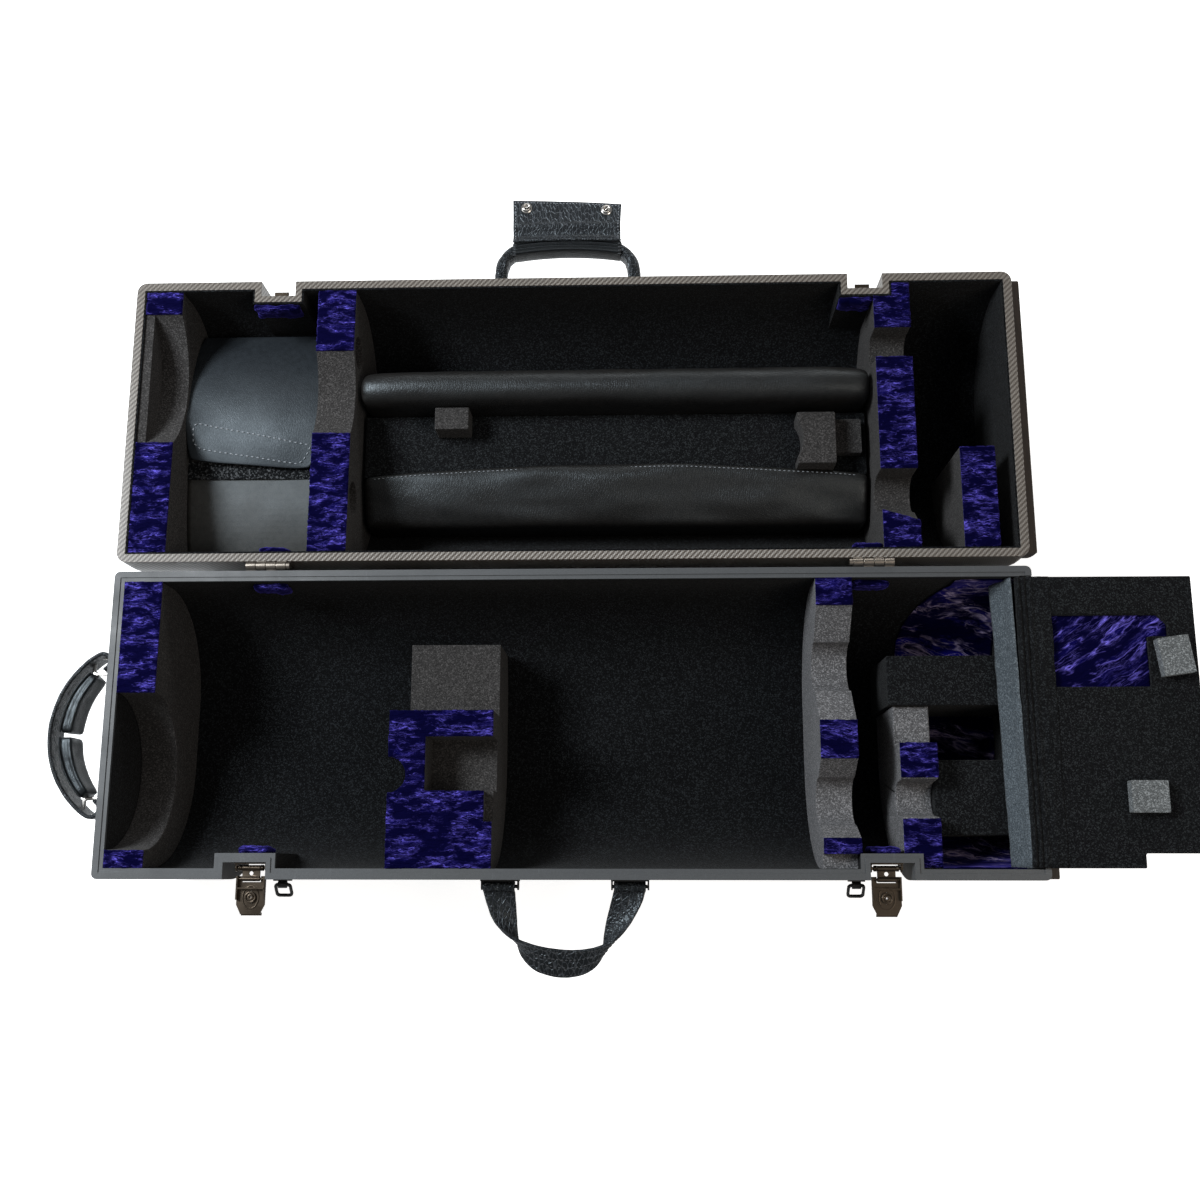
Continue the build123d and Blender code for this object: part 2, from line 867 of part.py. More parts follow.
def latch_x(side):
    """Middle of a latch along the case: -1 for the left one, 1 for the right one."""
    return side * (case_length / 2 - latch_from_end)


with BuildPart() as latch_plates:
    for side in (-1, 1):
        middle = latch_x(side)
        plate_top = rim - latch_plate_top
        span_box(
            middle - latch_plate_width / 2, middle + latch_plate_width / 2,
            notch_back - glue_gap - latch_plate_thickness, notch_back - glue_gap,
            plate_top - latch_plate_height, plate_top,
        )
        for ear in (-1, 1):
            ear_x = middle + ear * (latch_plate_width - ear_thickness) / 2
            span_box(
                ear_x - ear_thickness / 2, ear_x + ear_thickness / 2,
                pin_y, notch_back - glue_gap,
                pin_z - ear_size / 2, pin_z + ear_size / 2,
            )
            rod(ear_size / 2, ear_thickness, (ear_x, pin_y, pin_z))
        rod(
            latch_pin_radius + pin_running_gap, latch_plate_width + 2,
            (middle, pin_y, pin_z), mode=Mode.SUBTRACT,
        )
latch_plates.part.label = "latch_plates"
export_step(latch_plates.part, "parts/latch_plates.step")

with BuildPart() as latch_pins:
    for side in (-1, 1):
        rod(latch_pin_radius, latch_plate_width + 1.6, (latch_x(side), pin_y, pin_z))
latch_pins.part.label = "latch_pins"
export_step(latch_pins.part, "parts/latch_pins.step")

spring_ring_radius = latch_pin_radius + pin_running_gap + 2 * spring_wire_radius
spring_pitch = 2 * spring_wire_radius + 0.06
with BuildPart() as latch_springs:
    for side in (-1, 1):
        for half in (-1, 1):
            for turn in range(spring_turns):
                along = link_width / 2 + fit_gap + spring_wire_radius + turn * spring_pitch
                with Locations((latch_x(side) + half * along, pin_y, pin_z)):
                    Torus(spring_ring_radius, spring_wire_radius, rotation=(0, 90, 0))
latch_springs.part.label = "latch_springs"
export_step(latch_springs.part, "parts/latch_springs.step")


def latch_link(side):
    """Short plate between the fixed pin and the lever's pin."""
    middle = latch_x(side)
    half = link_width / 2
    with BuildPart() as link:
        rod(link_barrel_radius, link_width, (middle, pin_y, pin_z))
        rod(link_barrel_radius - 0.3, link_width, (middle, press_y, pin_z))
        span_box(
            middle - half, middle + half, press_y, pin_y,
            pin_z - link_thickness / 2, pin_z + link_thickness / 2,
        )
        rod(
            latch_pin_radius + pin_running_gap, link_width + 2,
            (middle, pin_y, pin_z), mode=Mode.SUBTRACT,
        )
        rod(
            lever_pin_radius + pin_running_gap, link_width + 2,
            (middle, press_y, pin_z), mode=Mode.SUBTRACT,
        )
        rod(
            link_hole_radius, link_barrel_radius * 4,
            (middle, (pin_y + press_y) / 2, pin_z), "Z", mode=Mode.SUBTRACT,
        )
    return link.part


plate_level = pin_z - lever_drop
lever_end_y = press_y - lever_length


def latch_lever(side):
    """Pressed lever: tapered plate, side flanges, raised oval, claw and lifting tab."""
    middle = latch_x(side)
    half = lever_width / 2
    with BuildPart() as lever:
        with BuildSketch(Plane.XY.offset(plate_level - lever_thickness)):
            with BuildLine():
                Polyline(
                    (middle - half, press_y + link_barrel_radius),
                    (middle + half, press_y + link_barrel_radius),
                    (middle + half, lever_end_y + lever_taper),
                    (middle + lever_end_width / 2, lever_end_y),
                    (middle - lever_end_width / 2, lever_end_y),
                    (middle - half, lever_end_y + lever_taper),
                    close=True,
                )
            make_face()
        extrude(amount=lever_thickness)
        # clear of the link's barrel and plate
        span_box(
            middle - link_width / 2 - fit_gap, middle + link_width / 2 + fit_gap,
            press_y - link_barrel_radius - fit_gap, press_y + link_barrel_radius + 1,
            plate_level - lever_thickness - 1, plate_level + 1, mode=Mode.SUBTRACT,
        )
        for flange in (-1, 1):
            outer = middle + flange * half
            inner = outer - flange * lever_thickness
            span_box(
                min(outer, inner), max(outer, inner),
                press_y - lever_flange_length, press_y + link_barrel_radius,
                plate_level - lever_thickness, plate_level + lever_flange_height,
            )
        rod(lever_pin_radius, lever_width - 0.2, (middle, press_y, pin_z))
        with BuildSketch(Plane.XY.offset(plate_level)):
            with Locations((middle, press_y - lock_from_pin)):
                Ellipse(oval_width / 2, oval_length / 2)
                Ellipse(oval_width / 2 - oval_ridge, oval_length / 2 - oval_ridge, mode=Mode.SUBTRACT)
        extrude(amount=oval_ridge)
        rod(
            lock_radius + pin_running_gap, 20,
            (middle, press_y - lock_from_pin, plate_level), "Z", mode=Mode.SUBTRACT,
        )
        claw_y = press_y - claw_from_pin
        span_box(
            middle - half + 0.5, middle + half - 0.5,
            claw_y - claw_thickness / 2, claw_y + claw_thickness / 2,
            plate_level - 0.2, plate_level + claw_reach,
        )
        span_box(
            middle - lever_end_width / 2, middle + lever_end_width / 2,
            lever_end_y - lever_thickness / 2, lever_end_y + lever_thickness / 2,
            plate_level - lever_tab_height - lever_thickness, plate_level,
        )
        rod(
            lever_thickness, lever_end_width,
            (middle, lever_end_y - lever_thickness / 2, plate_level - lever_tab_height - lever_thickness),
        )
    return lever.part


def latch_lock(side):
    """Round lock barrel through the lever, with a bore in its middle."""
    place_y = press_y - lock_from_pin
    low = plate_level - lever_thickness - lock_drop
    high = plate_level + lock_rise
    with BuildPart() as lock:
        rod(lock_radius, high - low, (latch_x(side), place_y, (low + high) / 2), "Z")
        rod(
            lock_radius - 1.2, 2.0,
            (latch_x(side), place_y, high), "Z", mode=Mode.SUBTRACT,
        )
        rod(lock_radius - 2.0, 1.6, (latch_x(side), place_y, high - 0.9), "Z")
        rod(lock_bore_radius, 12, (latch_x(side), place_y, high), "Z", mode=Mode.SUBTRACT)
    return lock.part


for side, name in ((-1, "left"), (1, "right")):
    with BuildPart() as latch_link_part:
        add(latch_link(side))
    latch_link_part.part.label = "latch_link_" + name
    export_step(latch_link_part.part, "parts/latch_link_" + name + ".step")

    with BuildPart() as latch_lever_part:
        add(latch_lever(side))
    latch_lever_part.part.label = "latch_lever_" + name
    export_step(latch_lever_part.part, "parts/latch_lever_" + name + ".step")

    with BuildPart() as latch_lock_part:
        add(latch_lock(side))
    latch_lock_part.part.label = "latch_lock_" + name
    export_step(latch_lock_part.part, "parts/latch_lock_" + name + ".step")


# ---------------------------------------------------------------- catches on the lid
catch_back = lid_front - notch_depth
with BuildPart() as latch_catches:
    for side in (-1, 1):
        middle = latch_x(side)
        span_box(
            middle - catch_width / 2, middle + catch_width / 2,
            catch_back + glue_gap, catch_back + latch_plate_thickness,
            rim - latch_plate_top - catch_plate_height, rim - latch_plate_top,
        )
        span_box(
            middle - catch_width / 2, middle + catch_width / 2,
            catch_back + glue_gap, catch_back + catch_lip_out,
            rim - catch_lip_below - catch_lip_thickness, rim - catch_lip_below,
        )
latch_catches.part.label = "latch_catches"
export_step(latch_catches.part, "parts/latch_catches.step")

# ================================================================ handles
base_wall = base_front
base_pin_y = base_front - handle_pin_out
base_pin_z = rim - base_handle_depth
lid_pin_y = lid_front + handle_pin_out
lid_pin_z = rim - lid_handle_depth
strap_root_width = (strap_outer_span - strap_inner_span) / 2
strap_root_x = (strap_outer_span + strap_inner_span) / 4
lid_leg_x = (lid_handle_span - lid_handle_band) / 2


def bracket(middle_x, loop_width, wall_y, away, pin_y, pin_z):
    """Wall plate with two lugs and a pin, round which a leather end is looped."""
    width = loop_width + 2 * (bracket_width_spare + bracket_lug)
    span_box(
        middle_x - width / 2, middle_x + width / 2,
        wall_y + away * glue_gap, wall_y + away * bracket_thickness,
        pin_z - bracket_height / 2, pin_z + bracket_height / 2,
    )
    for side in (-1, 1):
        lug_x = middle_x + side * (width - bracket_lug) / 2
        span_box(
            lug_x - bracket_lug / 2, lug_x + bracket_lug / 2,
            wall_y + away * glue_gap, pin_y,
            pin_z - 2 * handle_pin_radius, pin_z + 2 * handle_pin_radius,
        )
        rod(2 * handle_pin_radius, bracket_lug, (lug_x, pin_y, pin_z))
    rod(handle_pin_radius, width, (middle_x, pin_y, pin_z))


ring_x = case_length / 2 - latch_from_end - strap_ring_inward
ring_y = base_front - strap_chape_radius - bracket_thickness
ring_z = rim - strap_ring_depth
side_pin_x = left_end - side_plate_thickness - side_chape_radius
side_pin_z = rim - side_handle_depth

with BuildPart() as base_brackets:
    for side in (-1, 1):
        bracket(
            base_handle_middle + side * strap_root_x, strap_root_width,
            base_wall, -1, base_pin_y, base_pin_z,
        )
        # chape of a strap ring
        ring_middle = side * ring_x
        span_box(
            ring_middle - 6, ring_middle + 6,
            base_wall - bracket_thickness, base_wall - glue_gap,
            ring_z - 8, ring_z + 8,
        )
        chape_length = strap_ring_width - 2 * strap_ring_wire - chape_spare
        rod(strap_chape_radius, chape_length, (ring_middle, ring_y, ring_z))
        rod(
            strap_ring_wire / 2 * 1.5, chape_length + 2,
            (ring_middle, ring_y, ring_z), mode=Mode.SUBTRACT,
        )
        # chape of a side-handle ring
        ring_middle_y = base_y(side_handle_d) + side * side_ring_d
        span_box(
            left_end - side_plate_thickness, left_end - glue_gap,
            ring_middle_y - 10, ring_middle_y + 10,
            side_pin_z - 9, side_pin_z + 9,
        )
        chape_length = side_ring_width - 2 * side_ring_wire - chape_spare
        rod(side_chape_radius, chape_length, (side_pin_x, ring_middle_y, side_pin_z), "Y")
        rod(
            side_ring_wire / 2 * 1.5, chape_length + 2,
            (side_pin_x, ring_middle_y, side_pin_z), "Y", mode=Mode.SUBTRACT,
        )
base_brackets.part.label = "base_brackets"
export_step(base_brackets.part, "parts/base_brackets.step")

# ---- plain strap handle of the base: a ribbon that leans outwards at its middle
root_y = base_pin_y - strap_loop_radius + 1.0


def strap_edge(spans, reaches, drops):
    """Smooth edge of the strap, mirrored about its middle."""
    half = [
        (base_handle_middle - span / 2, root_y - reach, base_pin_z - drop)
        for span, reach, drop in zip(spans, reaches, drops)
    ]
    other = [(2 * base_handle_middle - x, y, z) for x, y, z in reversed(half[:-1])]
    return Spline(*(half + other))


upper_edge = strap_edge(
    (strap_outer_span, strap_shoulder_span, 0),
    (0, strap_shoulder_reach, strap_upper_reach),
    (0, -strap_root_drop / 2, strap_root_drop / 2),
)
lower_edge = strap_edge(
    (strap_inner_span, strap_lower_knee_span, 0),
    (0, strap_lower_knee_reach, strap_lower_reach),
    (strap_root_drop, strap_drop, strap_drop),
)
strap_face = Face.make_surface_from_curves(upper_edge, lower_edge)
with BuildPart() as base_handle_strap:
    thicken(strap_face, amount=strap_thickness / 2, both=True)
    for side in (-1, 1):
        loop_middle = (base_handle_middle + side * strap_root_x, base_pin_y, base_pin_z)
        rod(strap_loop_radius, strap_root_width - 1, loop_middle)
    for side in (-1, 1):
        loop_middle = (base_handle_middle + side * strap_root_x, base_pin_y, base_pin_z)
        rod(handle_pin_radius + pin_running_gap, strap_root_width + 4, loop_middle, mode=Mode.SUBTRACT)
base_handle_strap.part.label = "base_handle_strap"
export_step(base_handle_strap.part, "parts/base_handle_strap.step")

with BuildPart() as lid_handle_brackets:
    for side in (-1, 1):
        bracket(
            lid_handle_middle + side * lid_leg_x, lid_handle_band,
            lid_front, 1, lid_pin_y, lid_pin_z,
        )
lid_handle_brackets.part.label = "lid_handle_brackets"
export_step(lid_handle_brackets.part, "parts/lid_handle_brackets.step")

# ---- stitched handle of the lid: stacked leather bent to a flat U
grip_top = lid_pin_z + lid_handle_height / 2
with BuildSketch(Plane.XY.offset(grip_top - lid_handle_height)) as lid_handle_plan:
    with Locations((lid_handle_middle, lid_front + lid_handle_reach / 2)):
        Rectangle(lid_handle_span, lid_handle_reach)
    fillet(lid_handle_plan.vertices().group_by(Axis.Y)[-1], radius=lid_handle_corner)
    inner_reach = lid_handle_reach - lid_handle_band
    with BuildSketch(mode=Mode.PRIVATE) as handle_hole:
        with Locations((lid_handle_middle, lid_front + inner_reach / 2 - 5)):
            Rectangle(lid_handle_span - 2 * lid_handle_band, inner_reach + 10)
        fillet(
            handle_hole.vertices().group_by(Axis.Y)[-1],
            radius=lid_handle_corner - lid_handle_band,
        )
    add(handle_hole.sketch, mode=Mode.SUBTRACT)
with BuildPart() as lid_handle_strap:
    extrude(lid_handle_plan.sketch, amount=lid_handle_height)
    fillet(lid_handle_strap.edges().group_by(Axis.Z)[-1], radius=2.0)
    fillet(lid_handle_strap.edges().group_by(Axis.Z)[0], radius=2.0)
    with BuildSketch(Plane.YZ) as side_shape:
        with BuildLine():
            Polyline(
                (lid_pin_y, lid_pin_z - lid_loop_radius),
                (lid_pin_y, lid_pin_z + lid_loop_radius),
                (lid_pin_y + lid_handle_flare, grip_top),
                (lid_pin_y + lid_handle_span, grip_top),
                (lid_pin_y + lid_handle_span, grip_top - lid_handle_height),
                (lid_pin_y + lid_handle_flare, grip_top - lid_handle_height),
                close=True,
            )
        make_face()
    extrude(side_shape.sketch, amount=case_length, both=True, mode=Mode.INTERSECT)
    for side in (-1, 1):
        leg = (lid_handle_middle + side * lid_leg_x, lid_pin_y, lid_pin_z)
        rod(lid_loop_radius, lid_handle_band, leg)
        rod(handle_pin_radius + pin_running_gap, lid_handle_band + 4, leg, mode=Mode.SUBTRACT)
lid_handle_strap.part.label = "lid_handle_strap"
export_step(lid_handle_strap.part, "parts/lid_handle_strap.step")

# ---- snap-on wrap of that handle, lying open
wrap_hinge_y = lid_front + lid_handle_reach - wrap_overlap
wrap_z = grip_top + wrap_bead_radius + fit_gap
with BuildPart() as grip_wrap:
    span_box(
        lid_handle_middle - wrap_length / 2, lid_handle_middle + wrap_length / 2,
        wrap_hinge_y, wrap_hinge_y + wrap_reach,
        wrap_z - wrap_thickness / 2, wrap_z + wrap_thickness / 2,
    )
    rod(wrap_bead_radius, wrap_length, (lid_handle_middle, wrap_hinge_y, wrap_z))
    fillet(grip_wrap.edges().filter_by(Axis.Z), radius=2.0)
grip_wrap.part.label = "grip_wrap"
export_step(grip_wrap.part, "parts/grip_wrap.step")

with BuildPart() as press_studs:
    for side in (-1, 1):
        stud_x = lid_handle_middle + side * (wrap_length / 2 - stud_from_side)
        stud_y = wrap_hinge_y + wrap_reach - stud_from_edge
        stud_base = wrap_z + wrap_thickness / 2
        rod(stud_radius, stud_height / 2, (stud_x, stud_y, stud_base + stud_height / 4), "Z")
        rod(stud_cap_radius, stud_height, (stud_x, stud_y, stud_base + stud_height / 2), "Z")
press_studs.part.label = "press_studs"
export_step(press_studs.part, "parts/press_studs.step")


# ---- side handle on the left end
def arc_band(outer_radius, thickness, from_angle, to_angle):
    """Piece of a flat ring in plan, standing as high as the side handle."""
    arc_x = left_end - side_handle_reach + side_handle_radius
    arc_y = base_y(side_handle_d)
    with BuildSketch(Plane.XY.offset(side_pin_z - side_handle_height / 2)) as plan:
        with BuildLine():
            outer = CenterArc((arc_x, arc_y), outer_radius, from_angle, to_angle - from_angle)
            inner = CenterArc(
                (arc_x, arc_y), outer_radius - thickness, from_angle, to_angle - from_angle,
            )
            Line(outer @ 0, inner @ 0)
            Line(outer @ 1, inner @ 1)
        make_face()
    with BuildPart() as band:
        extrude(plan.sketch, amount=side_handle_height)
        fillet(band.edges().filter_by(Axis.Z), radius=min(3.0, thickness / 3))
        fillet(band.edges().group_by(Axis.Z)[-1], radius=2.0)
        fillet(band.edges().group_by(Axis.Z)[0], radius=2.0)
    return band.part


ring_outer_x = side_pin_x - side_ring_length + side_ring_wire
with BuildPart() as side_handle_grip:
    add(arc_band(
        side_handle_radius, side_handle_band,
        side_handle_bearing - side_handle_angle, side_handle_bearing + side_handle_angle,
    ))
    for side in (-1, 1):
        ring_middle_y = base_y(side_handle_d) + side * side_ring_d
        span_box(
            ring_outer_x - side_ring_wire, right_end, ring_middle_y - side_ring_width,
            ring_middle_y + side_ring_width,
            side_pin_z - side_ring_wire / 2 - fit_gap, side_pin_z + side_ring_wire / 2 + fit_gap,
            mode=Mode.SUBTRACT,
        )
side_handle_grip.part.label = "side_handle_grip"
export_step(side_handle_grip.part, "parts/side_handle_grip.step")

wrap_outer = side_handle_radius - side_handle_band - fit_gap
half_split = side_wrap_split / 2
with BuildPart() as side_handle_wraps:
    for from_angle, to_angle in ((-side_wrap_angle, -half_split), (half_split, side_wrap_angle)):
        add(arc_band(
            wrap_outer, side_wrap_thickness,
            side_handle_bearing + from_angle, side_handle_bearing + to_angle,
        ))
side_handle_wraps.part.label = "side_handle_wraps"
export_step(side_handle_wraps.part, "parts/side_handle_wraps.step")

with BuildPart() as side_handle_rings:
    for side in (-1, 1):
        ring_middle_y = base_y(side_handle_d) + side * side_ring_d
        ring_middle_x = side_pin_x + side_ring_wire / 2 - side_ring_length / 2
        with BuildSketch(Plane.XY.offset(side_pin_z - side_ring_wire / 2)):
            with Locations((ring_middle_x, ring_middle_y)):
                RectangleRounded(side_ring_length, side_ring_width, 4.0)
                RectangleRounded(
                    side_ring_length - 2 * side_ring_wire, side_ring_width - 2 * side_ring_wire,
                    2.0, mode=Mode.SUBTRACT,
                )
        extrude(amount=side_ring_wire)
    fillet(side_handle_rings.edges().group_by(Axis.Z)[-1], radius=1.0)
    fillet(side_handle_rings.edges().group_by(Axis.Z)[0], radius=1.0)
side_handle_rings.part.label = "side_handle_rings"
export_step(side_handle_rings.part, "parts/side_handle_rings.step")

# ---- rings for a shoulder strap, on the front wall beside each latch
for side, name in ((-1, "left"), (1, "right")):
    ring_plane = Plane(
        origin=(side * ring_x, ring_y, ring_z), x_dir=(1, 0, 0), z_dir=(0, -1, 1),
    )
    with BuildPart() as strap_ring:
        with BuildSketch(ring_plane.offset(-strap_ring_wire / 2)):
            with Locations((0, strap_ring_wire / 2 - strap_ring_length / 2)):
                RectangleRounded(strap_ring_width, strap_ring_length, 3.6)
                RectangleRounded(
                    strap_ring_width - 2 * strap_ring_wire, strap_ring_length - 2 * strap_ring_wire,
                    1.6, mode=Mode.SUBTRACT,
                )
        extrude(amount=strap_ring_wire)
        fillet(strap_ring.edges().filter_by(ring_plane), radius=0.7)
    strap_ring.part.label = "strap_ring_" + name
    export_step(strap_ring.part, "parts/strap_ring_" + name + ".step")

# ================================================================ compartment flap
flap_start = right_end + flap_start_out
flap_end = flap_start + flap_length
flap_top = rim - flap_below_rim
flap_floor = flap_top - flap_thickness
recess_left = flap_start + flap_recess_start
recess_right = recess_left + flap_recess_length
with BuildSketch(Plane.XY) as recess_plan:
    with BuildLine():
        Polyline(
            (recess_left, base_y(flap_recess_back_d)),
            (recess_right - flap_recess_chamfer, base_y(flap_recess_back_d)),
            (recess_right, base_y(flap_recess_back_d + flap_recess_chamfer)),
            (recess_right, base_y(flap_recess_step_d)),
            (recess_right - flap_recess_step, base_y(flap_recess_step_d)),
            (recess_right - flap_recess_step, base_y(flap_recess_front_d)),
            (recess_left, base_y(flap_recess_front_d)),
            close=True,
        )
    make_face()

with BuildPart() as flap_panel:
    span_box(
        flap_start, flap_end, base_y(flap_front_d), base_y(flap_back_d),
        flap_floor, flap_top,
    )
    span_box(
        flap_end - flap_notch_length, flap_end + 1,
        base_y(flap_front_d + 1), base_y(flap_front_d - flap_notch_width),
        flap_floor - 1, flap_top + 1, mode=Mode.SUBTRACT,
    )
    recess_cut = Pos(0, 0, flap_top - flap_recess_depth) * recess_plan.sketch
    extrude(recess_cut, amount=flap_recess_depth + 1, mode=Mode.SUBTRACT)
flap_panel.part.label = "flap_panel"
export_step(flap_panel.part, "parts/flap_panel.step")

with BuildPart() as flap_velvet:
    extrude(recess_cut, amount=velvet_thickness)
flap_velvet.part.label = "flap_velvet"
export_step(flap_velvet.part, "parts/flap_velvet.step")

with BuildPart() as flap_chips:
    rear_middle = (flap_start + rear_chip_start + rear_chip_size / 2, base_y(rear_chip_d))
    with BuildSketch(Plane.XY.offset(flap_top)):
        with Locations(Location((*rear_middle, 0), (0, 0, rear_chip_tilt))):
            Rectangle(rear_chip_size, rear_chip_width)
    extrude(amount=chip_height)
    with BuildSketch(Plane.XY.offset(flap_top)):
        with Locations((flap_start + front_chip_start + front_chip_size / 2, base_y(front_chip_d))):
            Rectangle(front_chip_size, front_chip_width)
    extrude(amount=chip_height)
    fillet(flap_chips.edges().filter_by(Axis.Z), radius=1.0)
flap_chips.part.label = "flap_chips"
export_step(flap_chips.part, "parts/flap_chips.step")

axis_z = rim - flap_hinge_depth
cloth_top = rim - cloth_below_rim
with BuildPart() as flap_cloth:
    cloth_back = base_y(flap_back_d)
    cloth_front = base_y(flap_front_d)
    half_cloth = cloth_thickness / 2
    span_box(
        hinge_axis_x - half_cloth, flap_start, cloth_front, cloth_back,
        cloth_top - cloth_thickness, cloth_top,
    )
    span_box(
        hinge_axis_x - half_cloth, hinge_axis_x + half_cloth, cloth_front, cloth_back,
        axis_z, cloth_top,
    )
    rod(
        bead_radius, cloth_back - cloth_front,
        (hinge_axis_x, (cloth_back + cloth_front) / 2, axis_z), "Y",
    )
flap_cloth.part.label = "flap_cloth"
export_step(flap_cloth.part, "parts/flap_cloth.step")

# cloth on the inner face of the end wall, up to the bead of the flap's hinge
with BuildPart() as flap_anchor_cloth:
    add(base_room)
    span_box(
        room_right - cloth_thickness, right_end, cloth_front - 1, cloth_back + 1,
        rim - shelf_depth + fit_gap, pocket_floor - fit_gap, mode=Mode.INTERSECT,
    )
    extrude(
        section(left_end, 0, block_inset + velvet_thickness + fit_gap),
        amount=case_length, mode=Mode.INTERSECT,
    )
flap_anchor_cloth.part.label = "flap_anchor_cloth"
export_step(flap_anchor_cloth.part, "parts/flap_anchor_cloth.step")

# ================================================================ lid half
with BuildPart() as lid_shell:
    add(half_shell(lid_middle, lid_front, -1, lid_corner_radius))
lid_shell.part.label = "lid_shell"
export_step(lid_shell.part, "parts/lid_shell.step")

with BuildPart() as lid_lining:
    add(liner(lid_middle, lid_front, -1))
    span_box(
        left_end, right_end, lid_middle - half_width, lid_front,
        rim - cloth_below_rim, rim + 1, mode=Mode.SUBTRACT,
    )
lid_lining.part.label = "lid_lining"
export_step(lid_lining.part, "parts/lid_lining.step")

with BuildPart() as lid_rivet_covers:
    hinge_places = (left_end + lid_hinge_pad_from_end, right_end - lid_hinge_pad_from_end)
    velvet_pads(hinge_places, lid_hinge_pad_length, lid_hinge_face, 1, lid_pad_depth)
    velvet_pads(
        [left_end + lid_left_notch_pad_from_end], lid_left_notch_pad_length, lid_notch_face, -1,
        lid_notch_pad_depth,
    )
    velvet_pads(
        [right_end - lid_right_notch_pad_from_end], lid_right_notch_pad_length, lid_notch_face, -1,
        lid_notch_pad_depth,
    )
    fillet(lid_rivet_covers.edges(), radius=pad_round)
lid_rivet_covers.part.label = "lid_rivet_covers"
export_step(lid_rivet_covers.part, "parts/lid_rivet_covers.step")

with BuildPart() as lid_foot_board:
    add(foot_board(lid_middle + foot_board_forward))
lid_foot_board.part.label = "lid_foot_board"
export_step(lid_foot_board.part, "parts/lid_foot_board.step")

# ---- end block with a wide shallow saddle
saddle_half = (lid_end_pad_far_d - lid_end_pad_d) / 2
saddle_radius = (saddle_half ** 2 + lid_saddle_depth ** 2) / (2 * lid_saddle_depth)
saddle_middle_d = (lid_end_pad_far_d + lid_end_pad_d) / 2
with BuildPart() as lid_end_block:
    span_box(room_left, end_block_right, lid_y(0), lid_front, 0, foam_top)
    keep(lid_room)
    saddle_start = room_left + lid_saddle_left
    rod(
        saddle_radius, end_block_thickness + 1,
        (saddle_start + (end_block_thickness + 1) / 2, lid_y(saddle_middle_d),
         foam_top - lid_saddle_depth + saddle_radius),
        mode=Mode.SUBTRACT,
    )
lid_end_block.part.label = "lid_end_block"
export_step(lid_end_block.part, "parts/lid_end_block.step")

with BuildPart() as lid_end_velvet:
    span_box(room_left, end_block_right, lid_y(0), lid_y(lid_end_pad_d), 0, rim)
    span_box(room_left, end_block_right, lid_y(lid_end_pad_far_d), lid_front, 0, rim)
    keep(lid_velvet_layer)

# ---- left column
column_left = left_end + left_column_from_end
column_right = column_left + left_column_width
dip_half = (left_column_pad_far_d - left_column_pad_d) / 2
dip_radius = (dip_half ** 2 + left_column_dip ** 2) / (2 * left_column_dip)
with BuildPart() as lid_left_column:
    span_box(column_left, column_right, lid_y(0), lid_front, 0, foam_top)
    keep(lid_room)
    rod(
        dip_radius, left_column_width + 2,
        ((column_left + column_right) / 2, lid_y(left_column_pad_d + dip_half),
         foam_top - left_column_dip + dip_radius),
        mode=Mode.SUBTRACT,
    )
    for socket_d in (rear_clarinet_d, front_clarinet_d):
        rod(
            clarinet_radius + fit_gap, socket_depth,
            (column_right - socket_depth / 2, lid_y(socket_d), rim - clarinet_depth),
            mode=Mode.SUBTRACT,
        )
lid_left_column.part.label = "lid_left_column"
export_step(lid_left_column.part, "parts/lid_left_column.step")

with BuildPart() as lid_left_velvet:
    span_box(column_left, column_right, lid_y(0), lid_y(left_column_pad_d), 0, rim)
    span_box(column_left, column_right, lid_y(left_column_pad_far_d), lid_front, 0, rim)
    keep(lid_velvet_layer)

# ---- right column, whose rear pad is cut at an angle
right_column_left = right_end - right_column_end - right_column_width
right_column_right = right_end - right_column_end
with BuildSketch(Plane.XY) as rear_pad_plan:
    with BuildLine():
        Polyline(
            (right_column_left, lid_y(0)),
            (right_column_right, lid_y(0)),
            (right_column_right, lid_y(right_rear_pad_far_d)),
            (right_column_left, lid_y(right_rear_pad_d)),
            close=True,
        )
    make_face()
with BuildPart() as lid_right_column:
    span_box(
        right_column_left, right_column_right, lid_y(right_rear_pad_far_d - 1), lid_front,
        0, foam_top,
    )
    cut_cradle(
        right_column_left, right_column_right, lid_y(rear_clarinet_d),
        clarinet_radius + 2, clarinet_depth + 2,
        lid_y(right_rear_pad_far_d - 2), lid_y(right_middle_pad_d),
    )
    cut_cradle(
        right_column_left, right_column_right,
        lid_y((right_middle_pad_far_d + right_front_pad_d) / 2),
        (right_front_pad_d - right_middle_pad_far_d) / 2, clarinet_depth,
        lid_y(right_middle_pad_far_d), lid_y(right_front_pad_d),
    )
    extrude(rear_pad_plan.sketch, amount=foam_top)
    keep(lid_room)
lid_right_column.part.label = "lid_right_column"
export_step(lid_right_column.part, "parts/lid_right_column.step")

with BuildPart() as lid_right_velvet:
    extrude(rear_pad_plan.sketch, amount=rim)
    span_box(
        right_column_left, right_column_right,
        lid_y(right_middle_pad_d), lid_y(right_middle_pad_far_d), 0, rim,
    )
    span_box(right_column_left, right_column_right, lid_y(right_front_pad_d), lid_front, 0, rim)
    keep(lid_velvet_layer)

# ---- block behind the rear bell
bell_left = right_end - bell_block_end - bell_block_width
bell_right = right_end - bell_block_end
with BuildPart() as lid_bell_block:
    span_box(bell_left, bell_right, lid_y(0), lid_y(bell_block_far_d), 0, foam_top)
    keep(lid_room)
lid_bell_block.part.label = "lid_bell_block"
export_step(lid_bell_block.part, "parts/lid_bell_block.step")

with BuildPart() as lid_bell_velvet:
    span_box(bell_left, bell_right, lid_y(0), lid_y(bell_block_far_d), 0, rim)
    keep(lid_velvet_layer)

